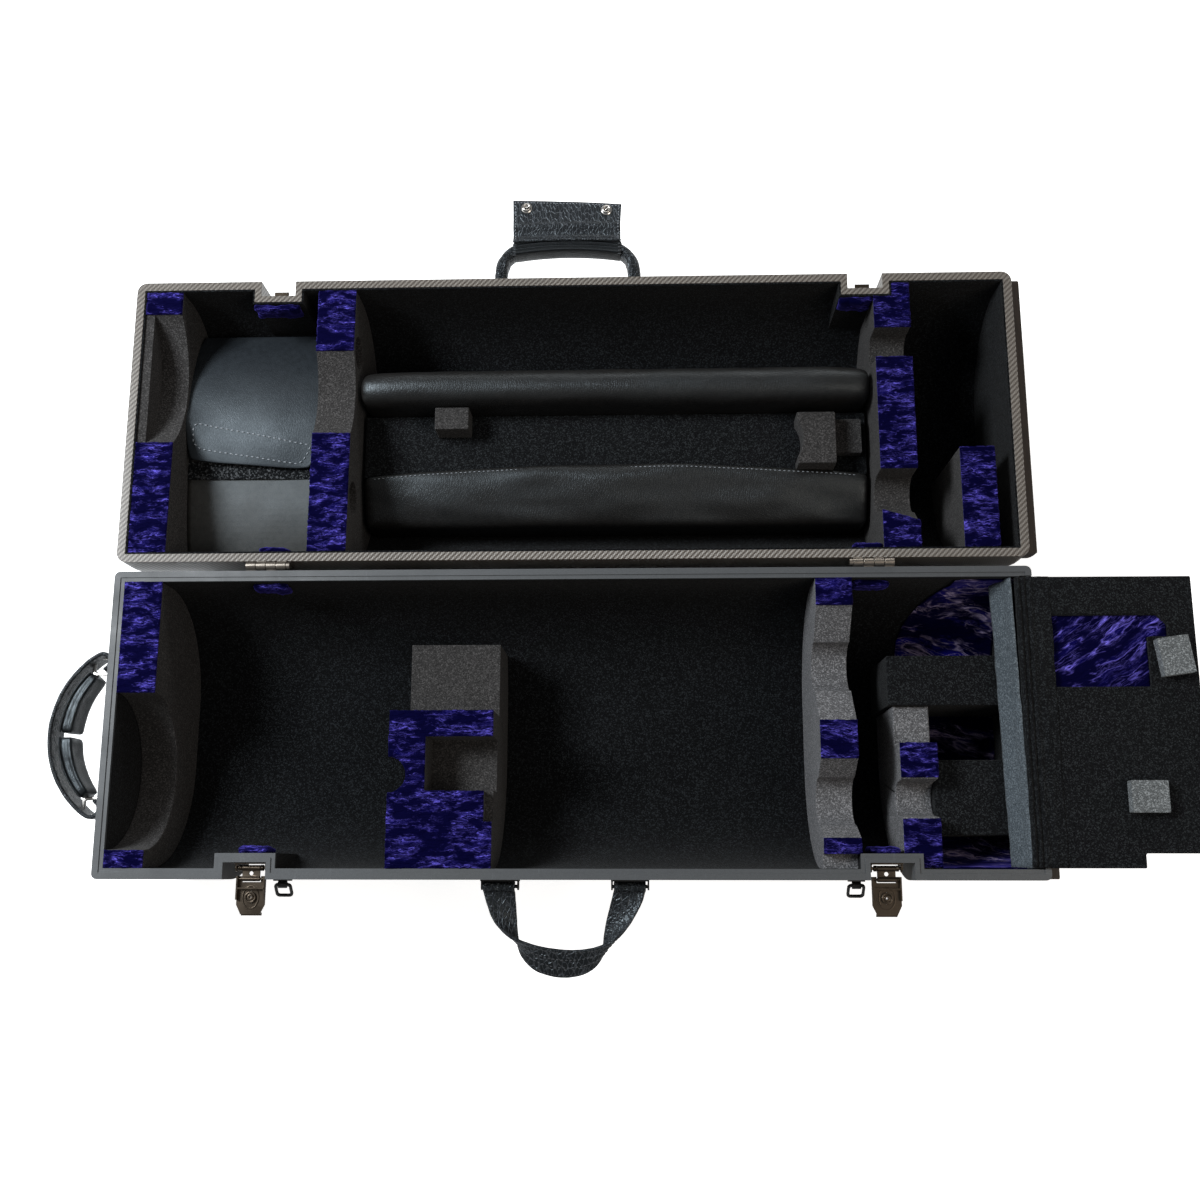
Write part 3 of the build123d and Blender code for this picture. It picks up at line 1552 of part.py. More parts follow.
# velvet on the tops of all the blocks of this half
with BuildPart() as lid_block_velvet:
    add(lid_end_velvet.part)
    add(lid_left_velvet.part)
    add(lid_right_velvet.part)
    add(lid_bell_velvet.part)
lid_block_velvet.part.label = "lid_block_velvet"
export_step(lid_block_velvet.part, "parts/lid_block_velvet.step")

# ---- tray between the two columns
tray_left = column_right + tray_gap
tray_right = right_column_left - tray_gap
with BuildPart() as lid_leather_bed:
    with BuildSketch(Plane.YZ.offset(tray_left)) as bed_profile:
        with BuildLine():
            Polyline(
                (lid_y(leather_bed_back_d), 0),
                (lid_y(leather_bed_back_d), rim - leather_bed_low),
                (lid_y(leather_bed_front_d), rim - leather_bed_high),
                (lid_y(leather_bed_front_d), 0),
                close=True,
            )
        make_face()
        fillet(bed_profile.vertices().group_by(Axis.Y)[-1], radius=6.0)
    extrude(amount=tray_right - tray_left)
    keep(lid_room)
lid_leather_bed.part.label = "lid_leather_bed"
export_step(lid_leather_bed.part, "parts/lid_leather_bed.step")

with BuildPart() as lid_foam_bed:
    span_box(
        tray_left, tray_right, lid_y(leather_bed_front_d + fit_gap),
        lid_y(divider_back_d - fit_gap), 0, rim - foam_bed_depth,
    )
    keep(lid_room)
lid_foam_bed.part.label = "lid_foam_bed"
export_step(lid_foam_bed.part, "parts/lid_foam_bed.step")

with BuildPart() as lid_leather_divider:
    divider_middle = lid_y(divider_back_d + divider_width / 2)
    with BuildSketch(Plane.YZ.offset(tray_left)):
        with Locations((divider_middle, (rim - divider_top - divider_width / 2) / 2)):
            Rectangle(divider_width, rim - divider_top - divider_width / 2)
        with Locations((divider_middle, rim - divider_top - divider_width / 2)):
            Circle(divider_width / 2)
    extrude(amount=tray_right - tray_left)
    keep(lid_room)
lid_leather_divider.part.label = "lid_leather_divider"
export_step(lid_leather_divider.part, "parts/lid_leather_divider.step")

with BuildPart() as lid_foam_rests:
    wedge_left = left_end + wedge_from_left
    rest_right = right_end - rest_block_from_right
    span_box(
        wedge_left, wedge_left + wedge_width,
        lid_y(wedge_back_d), lid_y(divider_back_d - fit_gap),
        rim - foam_bed_depth, rim - rest_block_depth,
    )
    span_box(
        rest_right - rest_block_width, rest_right,
        lid_y(rest_block_back_d), lid_y(rest_block_front_d),
        rim - foam_bed_depth, rim - rest_block_depth,
    )
    rod(
        rest_hollow_radius, foam_bed_depth,
        (rest_right - rest_block_width - rest_hollow_radius + 5,
         lid_y((rest_block_back_d + rest_block_front_d) / 2), rim - rest_block_depth),
        "Z", mode=Mode.SUBTRACT,
    )
    span_box(
        rest_right + fit_gap, rest_right + fit_gap + bridge_width,
        lid_y(bridge_back_d), lid_y(bridge_front_d),
        rim - foam_bed_depth, rim - bridge_depth,
    )
lid_foam_rests.part.label = "lid_foam_rests"
export_step(lid_foam_rests.part, "parts/lid_foam_rests.step")

# ---- leather pouch between the end block and the left column
pouch_left = end_block_right + pouch_side_gap
pouch_right = column_left - pouch_side_gap


def leather_sheet(back_d, back_depth, front_d, front_depth, bulge):
    """Curved sheet of even upright thickness, spanning the pouch."""
    middle_d = (back_d + front_d) / 2
    middle_z = rim - (back_depth + front_depth) / 2 + bulge
    with BuildSketch(Plane.YZ.offset(pouch_left)) as profile:
        with BuildLine():
            start = (lid_y(back_d), rim - back_depth)
            finish = (lid_y(front_d), rim - front_depth)
            ThreePointArc(start, (lid_y(middle_d), middle_z), finish)
            Line(finish, (finish[0], finish[1] - pouch_sheet))
            ThreePointArc(
                (finish[0], finish[1] - pouch_sheet),
                (lid_y(middle_d), middle_z - pouch_sheet),
                (start[0], start[1] - pouch_sheet),
            )
            Line((start[0], start[1] - pouch_sheet), start)
        make_face()
    return profile.sketch


with BuildPart() as pouch_panel:
    panel_profile = leather_sheet(
        pouch_panel_back_d, pouch_panel_back_depth,
        pouch_panel_front_d, pouch_panel_front_depth, pouch_panel_bulge,
    )
    extrude(panel_profile, amount=pouch_right - pouch_left)
    keep(lid_room)
pouch_panel.part.label = "pouch_panel"
export_step(pouch_panel.part, "parts/pouch_panel.step")

with BuildPart() as pouch_flap:
    flap_profile = leather_sheet(
        pouch_flap_end_d, pouch_flap_end_depth,
        pouch_hinge_d, pouch_hinge_depth, pouch_bulge,
    )
    extrude(flap_profile, amount=pouch_right - pouch_left)
    with BuildSketch(Plane.XY) as flap_outline:
        with Locations(((pouch_left + pouch_right) / 2, lid_y((pouch_flap_end_d + pouch_hinge_d) / 2))):
            Rectangle(pouch_right - pouch_left, pouch_hinge_d - pouch_flap_end_d)
        fillet(flap_outline.vertices().group_by(Axis.Y)[0], radius=pouch_corner)
    extrude(flap_outline.sketch, amount=rim, mode=Mode.INTERSECT)
    rod(
        pouch_sheet / 2, pouch_right - pouch_left,
        ((pouch_left + pouch_right) / 2, lid_y(pouch_hinge_d), rim - pouch_hinge_depth - pouch_sheet / 2),
    )
pouch_flap.part.label = "pouch_flap"
export_step(pouch_flap.part, "parts/pouch_flap.step")

# hook-and-loop strip on the panel, under the free end of the flap
with BuildPart() as pouch_loop_strip:
    extrude(Pos(0, 0, loop_strip_thickness) * panel_profile, amount=pouch_right - pouch_left)
    span_box(
        pouch_left, pouch_right, lid_y(loop_strip_d), lid_y(loop_strip_d + loop_strip_width),
        0, rim, mode=Mode.INTERSECT,
    )
    extrude(
        Pos(0, 0, glue_gap) * panel_profile, amount=pouch_right - pouch_left, mode=Mode.SUBTRACT,
    )
pouch_loop_strip.part.label = "pouch_loop_strip"
export_step(pouch_loop_strip.part, "parts/pouch_loop_strip.step")

# ================================================================ rivets
with BuildPart() as base_rivets:
    hinge_rivets(half_width / 2, 1)
base_rivets.part.label = "base_rivets"
export_step(base_rivets.part, "parts/base_rivets.step")

with BuildPart() as lid_rivets:
    hinge_rivets(lid_middle - half_width / 2, -1)
lid_rivets.part.label = "lid_rivets"
export_step(lid_rivets.part, "parts/lid_rivets.step")
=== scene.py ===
import math

import bmesh
import bpy
from mathutils import Matrix, Vector, noise


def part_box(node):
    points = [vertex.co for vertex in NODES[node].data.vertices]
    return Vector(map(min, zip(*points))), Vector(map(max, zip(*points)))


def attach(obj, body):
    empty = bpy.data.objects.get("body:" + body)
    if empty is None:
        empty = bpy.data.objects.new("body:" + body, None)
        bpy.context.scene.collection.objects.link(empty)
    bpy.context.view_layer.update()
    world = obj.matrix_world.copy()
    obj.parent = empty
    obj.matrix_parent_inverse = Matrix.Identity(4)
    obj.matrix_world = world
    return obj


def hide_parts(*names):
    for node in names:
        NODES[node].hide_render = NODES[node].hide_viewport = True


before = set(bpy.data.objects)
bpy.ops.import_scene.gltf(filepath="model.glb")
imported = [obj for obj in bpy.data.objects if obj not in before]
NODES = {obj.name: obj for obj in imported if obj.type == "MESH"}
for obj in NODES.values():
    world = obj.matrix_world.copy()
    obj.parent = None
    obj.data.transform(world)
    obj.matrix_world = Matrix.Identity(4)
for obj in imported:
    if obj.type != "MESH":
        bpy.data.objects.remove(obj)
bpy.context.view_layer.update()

bl_info = {
    "name": "Clarinet case",
    "version": (1, 0, 0),
    "blender": (4, 5, 0),
    "location": "3D View > Sidebar > Clarinet case",
    "description": "Dresses an open clarinet case with velvet, leather, felt and plated metal",
    "category": "Object",
}

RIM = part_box("base_rim_trim")[1].z
BASE_LOW, BASE_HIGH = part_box("base_shell")
LID_LOW, LID_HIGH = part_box("lid_shell")


# ---------------------------------------------------------------- properties
def length_setting(name, description, default):
    """A length that the panel shows."""
    return bpy.props.FloatProperty(
        name=name, description=description, default=default, subtype="DISTANCE", unit="LENGTH")


def colour_setting(name, description, default):
    """A colour that the panel shows."""
    return bpy.props.FloatVectorProperty(
        name=name, description=description, default=default, size=3, subtype="COLOR", min=0.0, max=1.0)


class ClarinetCaseSizes(bpy.types.PropertyGroup):
    """Sizes of the rounded edges and the leather."""

    foam_edge: length_setting("Foam edge", "Rounding of the foam blocks' edges", 0.0012)
    shell_edge: length_setting("Shell edge", "Rounding of the moulded rims", 0.0008)
    metal_edge: length_setting("Metal edge", "Rounding of the pressed metal parts", 0.00025)
    leather_thickness: length_setting("Leather", "Thickness of the pouch and wrap leather", 0.0022)


class ClarinetCaseColours(bpy.types.PropertyGroup):
    """Colours of the finishes."""

    velvet: colour_setting("Velvet", "Deep colour of the crushed velvet", (0.0012, 0.0010, 0.021))
    velvet_light: colour_setting(
        "Velvet light", "Colour where the pile catches the light", (0.165, 0.135, 0.820))
    velvet_sheen: colour_setting(
        "Velvet sheen", "Colour of the velvet's half-lit folds", (0.0035, 0.0028, 0.070))
    felt: colour_setting("Felt", "Felt on the foam blocks", (0.034, 0.033, 0.033))
    velour: colour_setting("Velour", "Lining of both halves", (0.0050, 0.0054, 0.0062))
    shell: colour_setting("Base shell", "Moulded base half", (0.055, 0.060, 0.065))
    weave: colour_setting(
        "Lid weave", "Light threads of the lid's woven laminate", (0.260, 0.235, 0.205))


def sizes():
    """The size settings of this scene."""
    return bpy.context.scene.clarinet_case_sizes


def colours():
    """The colour settings of this scene."""
    return bpy.context.scene.clarinet_case_colours


# ---------------------------------------------------------------- node helpers
def put(tree, kind, sockets=None, **settings):
    """A node of a tree, with its settings and its sockets' values."""
    item = tree.nodes.new(kind)
    for key, value in settings.items():
        setattr(item, key, value)
    for key, value in (sockets or {}).items():
        item.inputs[key].default_value = value
    return item


def maths(tree, operation, first, second=None, clamp=False):
    """A math node on two links or numbers; gives its output."""
    item = put(tree, "ShaderNodeMath", operation=operation, use_clamp=clamp)
    for index, value in enumerate((first, second)):
        if value is None:
            continue
        if isinstance(value, (int, float)):
            item.inputs[index].default_value = value
        else:
            tree.links.new(value, item.inputs[index])
    return item.outputs[0]


def spread(tree, value, low, high, to_low=0.0, to_high=1.0):
    """A map range node from low..high to another range; gives its output."""
    item = put(tree, "ShaderNodeMapRange", {
        "From Min": low, "From Max": high, "To Min": to_low, "To Max": to_high,
    })
    tree.links.new(value, item.inputs["Value"])
    return item.outputs["Result"]


def blend_colour(tree, factor, first, second, blend_type="MIX"):
    """A colour mix of two colours or links; gives its output."""
    item = put(tree, "ShaderNodeMix", data_type="RGBA", blend_type=blend_type)
    for index, value in ((0, factor), (6, first), (7, second)):
        if isinstance(value, (int, float)):
            item.inputs[index].default_value = value
        elif isinstance(value, bpy.types.NodeSocket):
            tree.links.new(value, item.inputs[index])
        else:
            item.inputs[index].default_value = (*value[:3], 1.0)
    return item.outputs[2]


def stretch(tree, vector, scale, turn=(0.0, 0.0, 0.0)):
    """A mapping node that scales and turns a pattern; gives its output."""
    item = put(tree, "ShaderNodeMapping", {"Scale": scale, "Rotation": turn})
    tree.links.new(vector, item.inputs["Vector"])
    return item.outputs["Vector"]


def clouds(tree, vector, scale, detail=3.0, roughness=0.55, distortion=0.0):
    """A noise texture; gives its factor output."""
    item = put(tree, "ShaderNodeTexNoise", {
        "Scale": scale, "Detail": detail, "Roughness": roughness, "Distortion": distortion,
    })
    tree.links.new(vector, item.inputs["Vector"])
    return item.outputs["Fac"]


def cells(tree, vector, scale, feature="F1", output="Distance"):
    """A voronoi texture; gives one of its outputs."""
    item = put(tree, "ShaderNodeTexVoronoi", {"Scale": scale}, feature=feature)
    tree.links.new(vector, item.inputs["Vector"])
    return item.outputs[output]


def effect(name, outputs, build):
    """A shader node group with a Vector and a Size input, built once."""
    tree = bpy.data.node_groups.get(name)
    if tree:
        return tree
    tree = bpy.data.node_groups.new(name, "ShaderNodeTree")
    tree.interface.new_socket("Vector", in_out="INPUT", socket_type="NodeSocketVector")
    size = tree.interface.new_socket("Size", in_out="INPUT", socket_type="NodeSocketFloat")
    size.default_value = 1.0
    for label in outputs:
        tree.interface.new_socket(label, in_out="OUTPUT", socket_type="NodeSocketFloat")
    entry = tree.nodes.new("NodeGroupInput")
    leave = tree.nodes.new("NodeGroupOutput")
    scaled = put(tree, "ShaderNodeVectorMath", operation="SCALE")
    tree.links.new(entry.outputs["Vector"], scaled.inputs[0])
    tree.links.new(maths(tree, "DIVIDE", 1.0, entry.outputs["Size"]), scaled.inputs["Scale"])
    for label, link in build(tree, scaled.outputs["Vector"]).items():
        tree.links.new(link, leave.inputs[label])
    return tree


def thin_lines(tree, value, sharpness):
    """Lines where a noise crosses its middle value."""
    away = maths(tree, "ABSOLUTE", maths(tree, "SUBTRACT", value, 0.5))
    return maths(tree, "SUBTRACT", 1.0, maths(tree, "MULTIPLY", away, sharpness), True)


def crushed_pile(tree, vector):
    """Velvet pile pressed over in short creases that flow together. One unit is one crease."""
    drift = put(tree, "ShaderNodeTexNoise", {"Scale": 0.22, "Detail": 3.0, "Roughness": 0.55})
    tree.links.new(vector, drift.inputs["Vector"])
    pushed = put(tree, "ShaderNodeVectorMath", {1: (1.9, 1.6, 1.9)}, operation="MULTIPLY_ADD")
    tree.links.new(drift.outputs["Color"], pushed.inputs[0])
    tree.links.new(vector, pushed.inputs[2])
    along = stretch(tree, pushed.outputs["Vector"], (0.30, 1.6, 1.0))
    folds = clouds(tree, along, 1.0, 3.0, 0.5, 0.3)
    wisps = clouds(tree, stretch(tree, along, (2.3, 2.9, 2.3)), 1.0, 4.0, 0.6, 0.5)
    crest = thin_lines(tree, folds, 22.0)
    fine = thin_lines(tree, wisps, 24.0)
    patches = clouds(tree, stretch(tree, pushed.outputs["Vector"], (0.28, 0.75, 0.7)), 1.0, 4.0, 0.6)
    broken = spread(tree, patches, 0.46, 0.66)
    strength = maths(
        tree, "ADD", maths(tree, "POWER", crest, 1.5), maths(tree, "MULTIPLY", fine, 0.40))
    return {
        "Streak": maths(tree, "MULTIPLY", broken, strength, True),
        "Patch": maths(tree, "MULTIPLY", broken, spread(tree, folds, 0.42, 0.62)),
        "Height": maths(tree, "ADD", maths(tree, "MULTIPLY", crest, 0.35), folds),
    }


def fibre_speckle(tree, vector):
    """Loose fibres of felt or velour. One unit is one tuft."""
    tufts = clouds(tree, vector, 1.0, 4.0, 0.75)
    flecks = cells(tree, vector, 1.1, output="Color")
    split = put(tree, "ShaderNodeSeparateColor")
    tree.links.new(flecks, split.inputs["Color"])
    return {
        "Tuft": spread(tree, tufts, 0.35, 0.68),
        "Fleck": spread(tree, split.outputs["Red"], 0.62, 1.0),
        "Height": tufts,
    }


def hide_grain(tree, vector):
    """Pebbled leather with fine creases. One unit is one pebble."""
    pebble = cells(tree, vector, 1.0, feature="SMOOTH_F1")
    pulled = stretch(tree, vector, (0.5, 0.2, 0.5), (0.0, 0.0, 0.5))
    crease = cells(tree, pulled, 1.0, feature="DISTANCE_TO_EDGE")
    groove = spread(tree, crease, 0.0, 0.10)
    wave = clouds(tree, vector, 0.12, 4.0)
    return {
        "Crease": groove,
        "Wave": spread(tree, wave, 0.3, 0.7),
        "Height": maths(
            tree, "ADD", maths(tree, "MULTIPLY", pebble, -0.6), maths(tree, "MULTIPLY", groove, 0.5)),
    }


def twill_cloth(tree, vector):
    """Two-and-two twill of flat threads. One unit is one thread."""
    split = put(tree, "ShaderNodeSeparateXYZ")
    tree.links.new(vector, split.inputs[0])
    across = split.outputs["X"]
    along = maths(tree, "ADD", split.outputs["Z"], split.outputs["Y"])
    steps = maths(tree, "SUBTRACT", maths(tree, "FLOOR", across), maths(tree, "FLOOR", along))
    warp_on_top = maths(tree, "LESS_THAN", maths(tree, "FLOORED_MODULO", steps, 4.0), 2.0)
    warp_round, weft_round = (
        maths(tree, "SINE", maths(tree, "MULTIPLY", maths(tree, "FRACT", side), math.pi))
        for side in (across, along))
    other = maths(tree, "SUBTRACT", 1.0, warp_on_top)
    height = maths(
        tree, "ADD", maths(tree, "MULTIPLY", warp_on_top, warp_round),
        maths(tree, "MULTIPLY", other, weft_round))
    return {"Warp": warp_on_top, "Round": height, "Height": height}


def handling_wear(tree, vector):
    """Fine scratches and cloudy rubbing. One unit is one scratch's length."""
    scratch = clouds(tree, stretch(tree, vector, (0.4, 6.0, 3.0), (0.2, 0.1, 0.6)), 1.0, 6.0, 0.7)
    second = clouds(tree, stretch(tree, vector, (5.0, 0.5, 3.0), (0.1, 0.3, -0.4)), 1.0, 6.0, 0.7)
    rub = clouds(tree, vector, 0.6, 4.0)
    return {
        "Scratch": maths(
            tree, "MAXIMUM", spread(tree, scratch, 0.60, 0.72), spread(tree, second, 0.62, 0.74)),
        "Rub": spread(tree, rub, 0.35, 0.7),
        "Height": maths(tree, "MULTIPLY", scratch, second),
    }


EFFECTS = {
    "Crushed pile": (("Streak", "Patch", "Height"), crushed_pile),
    "Fibre speckle": (("Tuft", "Fleck", "Height"), fibre_speckle),
    "Hide grain": (("Crease", "Wave", "Height"), hide_grain),
    "Twill cloth": (("Warp", "Round", "Height"), twill_cloth),
    "Handling wear": (("Scratch", "Rub", "Height"), handling_wear),
}


class Finish:
    """A material under construction: its tree, its shader and its pattern coordinates."""

    def __init__(self, name, uv=False):
        self.material = bpy.data.materials.new(name)
        self.material.use_nodes = True
        self.tree = self.material.node_tree
        self.shader = self.tree.nodes["Principled BSDF"]
        place = put(self.tree, "ShaderNodeTexCoord")
        self.vector = place.outputs["UV" if uv else "Object"]

    def effect(self, name, size, vector=None):
        """Places a shared effect; gives its outputs."""
        outputs, build = EFFECTS[name]
        item = put(self.tree, "ShaderNodeGroup", node_tree=effect(name, outputs, build))
        self.tree.links.new(vector or self.vector, item.inputs["Vector"])
        item.inputs["Size"].default_value = size
        return item.outputs

    def feed(self, socket, value):
        """Sets or links one of the shader's sockets."""
        if isinstance(value, bpy.types.NodeSocket):
            self.tree.links.new(value, self.shader.inputs[socket])
        elif isinstance(value, (int, float)):
            self.shader.inputs[socket].default_value = value
        else:
            self.shader.inputs[socket].default_value = (*value[:3], 1.0)

    def bump(self, height, distance, strength=1.0, over=None):
        """A bump in front of the shader's normal; over is an earlier bump."""
        item = put(self.tree, "ShaderNodeBump", {"Strength": strength, "Distance": distance})
        self.tree.links.new(height, item.inputs["Height"])
        if over:
            self.tree.links.new(over.outputs["Normal"], item.inputs["Normal"])
        self.tree.links.new(item.outputs["Normal"], self.shader.inputs["Normal"])
        return item

    def veil(self, mask, amount, under, over):
        """Lays one colour over another where a mask is high."""
        return blend_colour(self.tree, maths(self.tree, "MULTIPLY", mask, amount), under, over)

    def facing(self, amount):
        """Rim of a surface turned away from the eye, where a sheen is painted into the colour."""
        item = put(self.tree, "ShaderNodeLayerWeight", {"Blend": amount})
        return item.outputs["Facing"]


def tint(colour, factor):
    """A colour made darker or lighter."""
    return tuple(min(1.0, part * factor) for part in colour)


def velvet_finish(name="velvet", fold=0.012, turn=0.0, painted_light_gain=1.0):
    """Crushed velvet: deep blue-violet with wisps where the pile leans to the light."""
    made = Finish(name)
    turned = stretch(made.tree, made.vector, (1.0, 1.0, 1.0), (0.0, 0.0, turn))
    pile = made.effect("Crushed pile", fold, turned)
    fine = made.effect("Fibre speckle", 0.0007)
    # painted_light_gain scales the sheen and light colours up: painted light, a brighter copy of the same
    # velvet.
    sheen, light = tint(colours().velvet_sheen, painted_light_gain), tint(colours().velvet_light, painted_light_gain)
    base = blend_colour(made.tree, pile["Patch"], colours().velvet, sheen)
    lit = blend_colour(made.tree, pile["Streak"], base, light)
    speckled = made.veil(fine["Tuft"], 0.55, lit, tint(colours().velvet, 0.6))
    # Painted sheen: towards the grazing rim the colour is mixed towards the light velvet colour.
    painted_rim_sheen = maths(made.tree, "POWER", made.facing(0.35), 3.0)
    edge = made.veil(painted_rim_sheen, 0.6, speckled, colours().velvet_light)
    made.feed("Base Color", edge)
    made.feed("Roughness", 0.85)
    made.feed("Sheen Weight", 0.012)
    made.feed("Sheen Roughness", 0.35)
    made.feed("Sheen Tint", tint(colours().velvet_light, 1.2))
    made.feed("Specular IOR Level", 0.02)
    first = made.bump(pile["Height"], 0.0012, 0.7)
    made.bump(fine["Height"], 0.0003, 0.5, first)
    return made.material


def felt_finish(name, colour, tuft=0.0009, fleck=0.35, bump=0.0004, fleck_colour=None):
    """Speckled felt or velour."""
    made = Finish(name)
    fibre = made.effect("Fibre speckle", tuft)
    cloud = clouds(made.tree, made.vector, 14.0, 3.0)
    ground = blend_colour(made.tree, fibre["Tuft"], tint(colour, 0.25), tint(colour, 1.9))
    worn = blend_colour(made.tree, spread(made.tree, cloud, 0.3, 0.7, 0.0, 0.5), ground, tint(colour, 0.6))
    flecked = blend_colour(
        made.tree, maths(made.tree, "MULTIPLY", fibre["Fleck"], fleck), worn,
        fleck_colour or tint(colour, 5.0))
    made.feed("Base Color", flecked)
    made.feed("Roughness", 0.95)
    made.feed("Sheen Weight", 0.04)
    made.feed("Sheen Roughness", 0.5)
    made.feed("Specular IOR Level", 0.05)
    made.bump(fibre["Height"], bump, 0.9)
    return made.material


def leather_finish(name, colour, pebble=0.0011, gloss=0.42, depth=0.00022, uv=False, light=3.0):
    """Black leather: grain that catches the light on its ridges, creases and soft rubbing."""
    made = Finish(name, uv)
    grain = made.effect("Hide grain", pebble)
    rub = made.effect("Handling wear", 0.03)
    ground = blend_colour(made.tree, grain["Wave"], tint(colour, 0.6), tint(colour, 1.3))
    # Painted highlight: the crease lines are painted lighter by the factor light, standing in for the light
    # they catch.
    creased = blend_colour(made.tree, grain["Crease"], tint(colour, light), ground)
    rubbed = made.veil(rub["Rub"], 0.35, creased, tint(colour, 1.7))
    made.feed("Base Color", rubbed)
    made.feed("Roughness", spread(made.tree, rub["Rub"], 0.0, 1.0, gloss + 0.08, gloss - 0.06))
    made.feed("Specular IOR Level", 0.42)
    made.feed("Specular Tint", (0.80, 0.92, 1.0))
    made.bump(grain["Height"], depth, 1.0)
    return made.material


def metal_finish(name, colour, roughness, wear=0.5, metallic=1.0):
    """Plated metal with fine scratches and dulled patches."""
    made = Finish(name)
    marks = made.effect("Handling wear", 0.006)
    dulled = blend_colour(
        made.tree, maths(made.tree, "MULTIPLY", marks["Rub"], wear), colour, tint(colour, 0.55))
    scratched = made.veil(marks["Scratch"], 0.45, dulled, tint(colour, 2.2))
    made.feed("Base Color", scratched)
    made.feed("Metallic", metallic)
    made.feed("Roughness", spread(made.tree, marks["Rub"], 0.0, 1.0, roughness, roughness + 0.16))
    made.bump(marks["Height"], 0.00004, 0.4)
    return made.material


def shell_finish(name, colour):
    """Moulded plastic with a fine even texture and scuffs."""
    made = Finish(name)
    fibre = made.effect("Fibre speckle", 0.0009)
    marks = made.effect("Handling wear", 0.022)
    ground = blend_colour(made.tree, fibre["Tuft"], tint(colour, 0.8), tint(colour, 1.2))
    scuffed = made.veil(marks["Scratch"], 0.35, ground, tint(colour, 2.2))
    rubbed = made.veil(marks["Rub"], 0.25, scuffed, tint(colour, 0.6))
    made.feed("Base Color", rubbed)
    made.feed("Roughness", spread(made.tree, marks["Rub"], 0.0, 1.0, 0.46, 0.62))
    made.bump(fibre["Height"], 0.00012, 0.6)
    return made.material


def weave_finish(name, colour):
    """Woven laminate under a satin coat."""
    made = Finish(name)
    cloth = made.effect("Twill cloth", 0.00118)
    marks = made.effect("Handling wear", 0.025)
    # Painted shade: by the Round profile each thread is darker at its edges and lighter on its crown.
    light = blend_colour(made.tree, cloth["Round"], tint(colour, 0.45), tint(colour, 0.85))
    dark = blend_colour(made.tree, cloth["Round"], tint(colour, 0.10), (0.075, 0.058, 0.046))
    woven = blend_colour(made.tree, cloth["Warp"], dark, light)
    rubbed = made.veil(marks["Rub"], 0.20, woven, tint(colour, 0.25))
    made.feed("Base Color", rubbed)
    made.feed("Roughness", 0.40)
    made.feed("Coat Weight", 0.3)
    made.feed("Coat Roughness", 0.30)
    made.bump(cloth["Height"], 0.0003, 0.7)
    return made.material


def board_finish(name, colour):
    """Stained board with a fine grain."""
    made = Finish(name)
    fibre = made.effect("Fibre speckle", 0.0012, stretch(made.tree, made.vector, (1.0, 0.06, 0.35)))
    marks = made.effect("Handling wear", 0.02)
    ground = blend_colour(made.tree, fibre["Tuft"], tint(colour, 0.6), tint(colour, 1.3))
    made.feed("Base Color", made.veil(marks["Scratch"], 0.3, ground, tint(colour, 2.5)))
    made.feed("Roughness", 0.55)
    made.bump(fibre["Height"], 0.0002, 0.6)
    return made.material


def thread_finish(name, colour):
    """Waxed sewing thread."""
    made = Finish(name)
    twist = clouds(made.tree, made.vector, 2500.0, 2.0)
    made.feed("Base Color", blend_colour(made.tree, twist, tint(colour, 0.6), colour))
    made.feed("Roughness", 0.6)
    made.bump(twist, 0.0001, 0.6)
    return made.material


MATERIALS = {}


